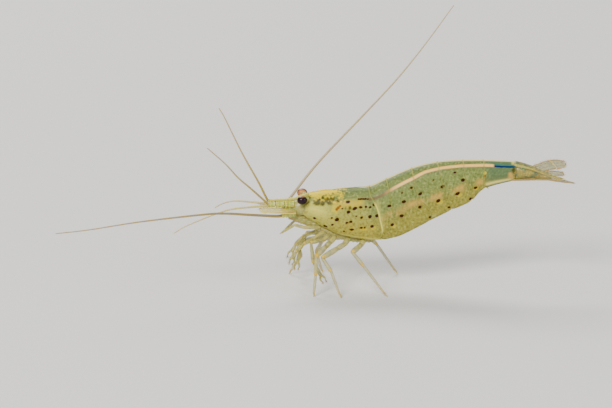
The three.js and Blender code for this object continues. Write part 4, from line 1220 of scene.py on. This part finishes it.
def make_tail(look, sizes):
    rng = np.random.default_rng(41)
    line = Line([(29.3, 0, 18.75)] + TELSON)

    def wide(share):
        return graded(share, *TELSON_OUTLINE) * np.sqrt(np.clip((1 - share) * 14, 0.02, 1))

    def marks(share, v):
        rim = np.maximum(np.abs(np.sin(2 * np.pi * v)), smooth(share, 0.95, 1.0))
        return {"rim": rim, "rib": 0 * share, "share": share}

    def crease(spot, share, turn):
        _, _, _, up = line.at(share)
        hollow = np.exp(-(np.sin(turn) / 0.22) ** 2) * (np.cos(turn) > 0) * smooth(share, 0.1, 0.4)
        return spot - up * (0.07 * hollow)[:, None]

    blade = tube("telson_blade", line, wide, profile(0.46, 0.44, 0.36, 0.27, 0.2, 0.15, 0.1), 48, 140, marks,
                 crease, blunt=0.5)
    finish_piece(blade, look["telson"], "shell", "telson")
    roots, tips = [], []
    for share in (0.3, 0.38, 0.46, 0.54, 0.62, 0.7, 0.78, 0.86):
        centre, ahead, side, up = [part[0] for part in line.at(np.array([share]))]
        for sign in (-1, 1):
            roots.append(centre + side * sign * wide(np.array([share]))[0] * 0.6 + up * (0.3 - 0.22 * share))
            tips.append(roots[-1] + ahead * 0.32 + up * 0.14)
    share = np.full(11, 0.975)
    centre, ahead, side, up = line.at(share)
    across = np.linspace(-0.34, 0.34, 11)[:, None]
    roots += list(centre + side * across)
    tips += list(centre + side * across * 1.4 + ahead * (0.75 - 0.3 * np.abs(across) / 0.34))
    finish_piece(hairs("telson_spinules", roots, tips, BRISTLE_RADII["spinule"]), look["spine"], "shell")

    for name, (rise, points) in TAIL_FAN.items():
        kind, side = name.split("_")
        across = (0, sign_of(side) * math.cos(math.radians(rise)), math.sin(math.radians(rise)))
        line = Line(placed(points, side), across)
        wide = leaf(line, [FAN_HALVES[kind] * w for w in FAN_OUTLINE], 1.7)
        ribs, suture = ((-0.1, 0.62), 0.78) if kind == "outer" else ((0.0,), NO_SUTURE)
        blade = fin_blade(f"tail_leaf_{name}", line, wide, 0.07, ribs, suture, columns=130)
        if kind == "outer":
            foot = tube(f"tail_socket_{side}", Line(placed(TAIL_SOCKET, side), (0, 0, 1)),
                        profile(0.92, 1.02, 0.9, 0.68, 0.46, 0.28, 0.12),
                        profile(0.34, 0.42, 0.38, 0.3, 0.2, 0.1), 32, 64,
                        lambda s, v: {"rim": 0 * s, "share": 0.3 + 0.6 * s}, blunt=0.6)
            finish_piece(foot, look["telson"], "fin")
        finish_piece(joined(f"tail_blade_{name}", [blade]), look["fan"], "fin", f"tail_fan_{name}")
        share = np.concatenate([rng.uniform(0.35, 0.97, 170), rng.uniform(0.93, 0.999, 70)])
        fringe(f"tail_fringe_{name}", line, wide, share, 0, 0.45, look["hair"], rng)


def make_margins(look, sizes):
    """Fine bristles along the lower margins of the plates."""
    rng = np.random.default_rng(51)
    section = np.concatenate([rng.uniform(0.9, 4.0, 260), rng.uniform(4.05, 8.95, 420)])
    count = len(section)
    angle = rng.choice([-1.0, 1.0], count) * (PLATE_END - rng.uniform(1, 4, count))
    root = form_at(BODY, section, angle)
    lean = np.stack([rng.uniform(0.1, 0.7, count), -0.35 * np.sign(angle), np.full(count, -0.8)], 1)
    tip = root + lean * rng.uniform(0.12, 0.3, (count, 1))
    finish_piece(hairs("plate_bristles", root, tip, BRISTLE_RADII["margin"]), look["hair"], "shell")


# ------------------------------------------------------------------ floor, light and camera

def area_light(name, place, size, power, colour):
    """A round light that points at the shrimp."""
    bpy.ops.object.select_all(action="DESELECT")
    bpy.ops.object.light_add(type="AREA", location=place)
    light = bpy.context.active_object
    light.name = name
    light.data.shape = "DISK"
    light.data.size, light.data.energy, light.data.color = size, power, colour
    light.rotation_euler = (Vector(LIGHT_TARGET) - Vector(place)).to_track_quat("-Z", "Y").to_euler()


def make_stage(look, settings):
    bpy.ops.object.select_all(action="DESELECT")
    bpy.ops.mesh.primitive_plane_add(size=FLOOR_SIZE, location=FLOOR_PLACE)
    ground = bpy.context.active_object
    bpy.ops.object.transform_apply(location=True)
    ground.name = "floor"
    ground.data.materials.append(look["floor"])
    for name, (place, size, share, colour) in LIGHTS.items():
        area_light(name, place, size, settings.key_power * share, colour)
    world = bpy.data.worlds.new("studio")
    bpy.context.scene.world = world
    world.use_nodes = True
    sky = world.node_tree.nodes["Background"].inputs
    sky["Color"].default_value = SKY
    sky["Strength"].default_value = settings.sky_strength
    tilt = settings.camera_height_angle
    away = Vector((0, -math.cos(tilt), math.sin(tilt))) * settings.camera_distance
    bpy.ops.object.camera_add(location=Vector(VIEW_CENTRE) * MM + away)
    camera = bpy.context.active_object
    camera.rotation_euler = (-away).to_track_quat("-Z", "Y").to_euler()
    camera.data.sensor_width = SENSOR_WIDTH
    camera.data.lens = SENSOR_WIDTH * settings.camera_distance / (PIXEL_SIZE * MM * IMAGE_WIDTH)
    camera.data.clip_start = 0.01
    bpy.context.scene.camera = camera


# ------------------------------------------------------------------ settings, operators and panel

def length_setting(name, description, default):
    return bpy.props.FloatProperty(name=name, description=description, default=default, unit="LENGTH",
                                   subtype="DISTANCE", precision=5)


def colour_setting(name, description, red, green, blue):
    return bpy.props.FloatVectorProperty(name=name, description=description, default=tint(red, green, blue),
                                         subtype="COLOR", size=4, min=0.0, max=1.0)


class ShrimpSizes(bpy.types.PropertyGroup):
    spot_radius: length_setting("Spot radius", "Radius of the dark spots on the flanks", 0.00019)
    plate_thickness: length_setting("Plate thickness", "Thickness of the shell plates", 0.00009)
    whip_root: length_setting("Whip root", "Radius of a feeler near its root", 0.0002)
    whip_tip: length_setting("Whip tip", "Radius of a feeler at its tip", 0.00007)
    tooth: length_setting("Rostrum tooth", "Height of the teeth on the rostrum", 0.00016)
    teeth: bpy.props.IntProperty(name="Rostrum teeth", description="Teeth along the rostrum's back",
                                 default=24)
    leg_girth: bpy.props.FloatProperty(name="Leg girth", description="Girth of the legs, 1 as measured",
                                       default=1.0)


class ShrimpColours(bpy.types.PropertyGroup):
    flank_green: colour_setting("Flank green", "Upper flank", 124, 136, 72)
    flank_olive: colour_setting("Flank olive", "Lower flank", 147, 139, 57)
    flank_pale: colour_setting("Flank pale", "Pale mottling of the shell", 182, 188, 104)
    back_grey: colour_setting("Back grey", "Grey-green tint beside the back line", 92, 108, 62)
    back_line: colour_setting("Back line", "Pale line along the back", 244, 226, 120)
    head_green: colour_setting("Head green", "Front of the carapace", 176, 182, 84)
    carapace: colour_setting("Carapace", "Yellow tint of the carapace", 196, 178, 66)
    head_yellow: colour_setting("Head yellow", "Mottling on the top of the head", 230, 200, 0)
    organ: colour_setting("Organ shade", "Dark patches that show through the carapace", 62, 58, 0)
    freckle: colour_setting("Freckle", "Fine freckles in the shell", 74, 84, 34)
    muscle: colour_setting("Muscle", "Faint bands of muscle seen through the plates", 88, 102, 50)
    plate_edge: colour_setting("Plate edge", "Pale rims of the plates", 222, 212, 98)
    spot: colour_setting("Spot", "Dark spots on the flanks", 46, 20, 2)
    halo: colour_setting("Halo", "Yellow ring round a spot", 206, 186, 40)
    warm: colour_setting("Warm spot", "Orange-brown spots", 132, 78, 4)
    gut_front: colour_setting("Gut, front", "Line of the gut behind the carapace", 112, 94, 50)
    gut: colour_setting("Gut", "Line of the gut along the abdomen", 248, 186, 92)
    gut_core: colour_setting("Gut, core", "Pale middle of the gut line", 255, 218, 132)
    gut_teal: colour_setting("Gut, upper end", "Blue-green edge of the gut line's end", 44, 112, 100)
    gut_end: colour_setting("Gut, end", "Blue end of the gut line", 6, 34, 82)
    tail_teal: colour_setting("Tail teal", "Blue-green tint of the last segment", 78, 104, 74)
    glow: colour_setting("Glow", "Warm patch in the middle of the carapace", 204, 178, 30)
    band: colour_setting("Flank band", "Warm band low on the flank", 212, 164, 74)
    flesh: colour_setting("Flesh", "Flesh between the plates", 164, 158, 80)
    leg: colour_setting("Leg", "Legs", 194, 184, 92)
    leg_grey: colour_setting("Leg grey", "Grey parts of the legs", 154, 150, 88)
    leg_clear: colour_setting("Leg, clear", "Clear lower lengths of the legs", 196, 188, 140)
    leg_joint: colour_setting("Leg joint", "Joints of the legs", 230, 184, 0)
    stalk: colour_setting("Feeler stalk", "Stalks of the feelers", 152, 172, 26)
    whip_outer: colour_setting("Upper whip", "Upper whips at the root", 158, 134, 22)
    whip_inner: colour_setting("Lower whip", "Lower whips at the root", 206, 188, 104)
    antenna_left: colour_setting("Left antenna", "Left antenna at the root", 134, 114, 50)
    antenna_right: colour_setting("Right antenna", "Right antenna at the root", 176, 158, 110)
    fin_film: colour_setting("Fin film", "Clear film of the tail fan", 112, 106, 52)
    fin_rim: colour_setting("Fin rim", "Rims of the fins", 190, 132, 44)
    rib: colour_setting("Fin rib", "Ribs of the fins", 226, 200, 120)
    hair: colour_setting("Bristle", "Bristles and fringes", 190, 164, 104)
    eye: colour_setting("Eye", "Dark of the eye", 12, 3, 8)
    eye_purple: colour_setting("Eye purple", "Lighter grains of the eye", 44, 12, 26)
    # Brown rim of the eye; over the eye's top the same colour is also painted light from above
    eye_rim_and_lit_top: colour_setting("Eye rim", "Brown-pink top of the eye", 150, 94, 60)
    eye_root: colour_setting("Eye root", "Pink inner side of the eye", 214, 156, 96)
    floor: colour_setting("Floor", "Studio floor", 226, 225, 221)


class ShrimpStudio(bpy.types.PropertyGroup):
    key_power: bpy.props.FloatProperty(name="Key light", description="Power of the key light", default=9.0,
                                       unit="POWER")
    sky_strength: bpy.props.FloatProperty(name="Sky", description="Strength of the soft light all round",
                                          default=0.45)
    camera_distance: length_setting("Camera distance", "From the camera to the shrimp", 0.6)
    camera_height_angle: bpy.props.FloatProperty(name="Camera height angle", description="Camera above level",
                                                 default=math.radians(14), subtype="ANGLE")


PALETTE = {}


def palette():
    """The materials, made once."""
    if not PALETTE:
        colours = bpy.context.scene.shrimp_colours
        PALETTE.update({
            "shell": shell_paint(colours),
            "flesh": flesh_paint(colours),
            "leg": leg_paint(colours),
            "hair": hair_paint("bristle", colours.hair),
            "spine": hair_paint("spinule", colours.back_line),
            "eye": eye_paint(colours),
            "stalk": stalk_paint(colours),
            "fan": fin_paint(colours, "tail_fan", colours.fin_film, colours.fin_rim, colours.rib),
            "scale": fin_paint(colours, "antenna_scale", colours.back_line, colours.plate_edge,
                               colours.fin_rim),
            "swim": fin_paint(colours, "swimmeret", colours.flank_olive, colours.fin_rim, colours.rib),
            "telson": telson_paint(colours),
            "floor": floor_paint(colours),
        })
        for kind in ("whip_outer", "whip_inner", "antenna_left", "antenna_right"):
            root = getattr(colours, kind)
            tip = [0.4 * a + 0.6 * b for a, b in zip(root, colours.hair)]
            PALETTE[kind] = whip_paint(kind, root, tip)
    return PALETTE


class ShrimpStep:
    """Makes one group of pieces from the scene's settings."""
    bl_options = {"REGISTER", "UNDO"}
    make = None

    def execute(self, context):
        type(self).make(palette(), context.scene.shrimp_sizes)
        return {"FINISHED"}


class OBJECT_OT_shrimp_flesh(ShrimpStep, bpy.types.Operator):
    """Adds the flesh under the shell plates"""
    bl_idname = "object.shrimp_flesh"
    bl_label = "Flesh"
    make = make_flesh


class OBJECT_OT_shrimp_carapace(ShrimpStep, bpy.types.Operator):
    """Adds the carapace"""
    bl_idname = "object.shrimp_carapace"
    bl_label = "Carapace"
    make = make_carapace


class OBJECT_OT_shrimp_abdomen(ShrimpStep, bpy.types.Operator):
    """Adds the six plates of the abdomen"""
    bl_idname = "object.shrimp_abdomen"
    bl_label = "Abdomen plates"
    make = make_abdomen


class OBJECT_OT_shrimp_rostrum(ShrimpStep, bpy.types.Operator):
    """Adds the toothed rostrum"""
    bl_idname = "object.shrimp_rostrum"
    bl_label = "Rostrum"
    make = make_rostrum


class OBJECT_OT_shrimp_head(ShrimpStep, bpy.types.Operator):
    """Adds the head, the breast and the mouthparts"""
    bl_idname = "object.shrimp_head"
    bl_label = "Head and mouthparts"
    make = make_head


class OBJECT_OT_shrimp_eyes(ShrimpStep, bpy.types.Operator):
    """Adds the eyes and their stalks"""
    bl_idname = "object.shrimp_eyes"
    bl_label = "Eyes"
    make = make_eyes


class OBJECT_OT_shrimp_antennules(ShrimpStep, bpy.types.Operator):
    """Adds the short feelers and their stalks"""
    bl_idname = "object.shrimp_antennules"
    bl_label = "Short feelers"
    make = make_antennules


class OBJECT_OT_shrimp_antennae(ShrimpStep, bpy.types.Operator):
    """Adds the long feelers, their stalks and their scales"""
    bl_idname = "object.shrimp_antennae"
    bl_label = "Long feelers"
    make = make_antennae


class OBJECT_OT_shrimp_mouth_legs(ShrimpStep, bpy.types.Operator):
    """Adds the mouth legs"""
    bl_idname = "object.shrimp_mouth_legs"
    bl_label = "Mouth legs"
    make = make_mouth_legs


class OBJECT_OT_shrimp_claw_legs(ShrimpStep, bpy.types.Operator):
    """Adds the claw legs"""
    bl_idname = "object.shrimp_claw_legs"
    bl_label = "Claw legs"
    make = make_claw_legs


class OBJECT_OT_shrimp_walking_legs(ShrimpStep, bpy.types.Operator):
    """Adds the walking legs"""
    bl_idname = "object.shrimp_walking_legs"
    bl_label = "Walking legs"
    make = make_walking_legs


class OBJECT_OT_shrimp_swimmerets(ShrimpStep, bpy.types.Operator):
    """Adds the swimming legs"""
    bl_idname = "object.shrimp_swimmerets"
    bl_label = "Swimming legs"
    make = make_swimmerets


class OBJECT_OT_shrimp_tail(ShrimpStep, bpy.types.Operator):
    """Adds the telson and the tail fan"""
    bl_idname = "object.shrimp_tail"
    bl_label = "Tail fan"
    make = make_tail


class OBJECT_OT_shrimp_margins(ShrimpStep, bpy.types.Operator):
    """Adds the bristles along the plates' lower margins"""
    bl_idname = "object.shrimp_margins"
    bl_label = "Margin bristles"
    make = make_margins


class OBJECT_OT_shrimp_stage(bpy.types.Operator):
    """Adds the floor, the lights and the camera"""
    bl_idname = "object.shrimp_stage"
    bl_label = "Stage"
    bl_options = {"REGISTER", "UNDO"}

    def execute(self, context):
        make_stage(palette(), context.scene.shrimp_studio)
        return {"FINISHED"}


STEPS = (
    OBJECT_OT_shrimp_flesh, OBJECT_OT_shrimp_carapace, OBJECT_OT_shrimp_abdomen, OBJECT_OT_shrimp_rostrum,
    OBJECT_OT_shrimp_head, OBJECT_OT_shrimp_eyes, OBJECT_OT_shrimp_antennules, OBJECT_OT_shrimp_antennae,
    OBJECT_OT_shrimp_mouth_legs, OBJECT_OT_shrimp_claw_legs, OBJECT_OT_shrimp_walking_legs,
    OBJECT_OT_shrimp_swimmerets, OBJECT_OT_shrimp_tail, OBJECT_OT_shrimp_margins, OBJECT_OT_shrimp_stage,
)


class VIEW3D_PT_shrimp(bpy.types.Panel):
    """Lists the shrimp's settings and steps"""
    bl_idname = "VIEW3D_PT_shrimp"
    bl_label = "Shrimp"
    bl_space_type = "VIEW_3D"
    bl_region_type = "UI"
    bl_category = "Shrimp"

    def draw(self, context):
        scene = context.scene
        for settings in (scene.shrimp_sizes, scene.shrimp_colours, scene.shrimp_studio):
            box = self.layout.box()
            for key in type(settings).__annotations__:
                box.prop(settings, key)
        for step in STEPS:
            self.layout.operator(step.bl_idname)


CLASSES = (ShrimpSizes, ShrimpColours, ShrimpStudio) + STEPS + (VIEW3D_PT_shrimp,)


def register():
    for entry in CLASSES:
        bpy.utils.register_class(entry)
    bpy.types.Scene.shrimp_sizes = bpy.props.PointerProperty(type=ShrimpSizes)
    bpy.types.Scene.shrimp_colours = bpy.props.PointerProperty(type=ShrimpColours)
    bpy.types.Scene.shrimp_studio = bpy.props.PointerProperty(type=ShrimpStudio)


def unregister():
    del bpy.types.Scene.shrimp_studio, bpy.types.Scene.shrimp_colours, bpy.types.Scene.shrimp_sizes
    for entry in reversed(CLASSES):
        bpy.utils.unregister_class(entry)


def main():
    register()
    for step in STEPS:
        family, name = step.bl_idname.split(".")
        getattr(getattr(bpy.ops, family), name)()


if __name__ == "__main__":
    main()
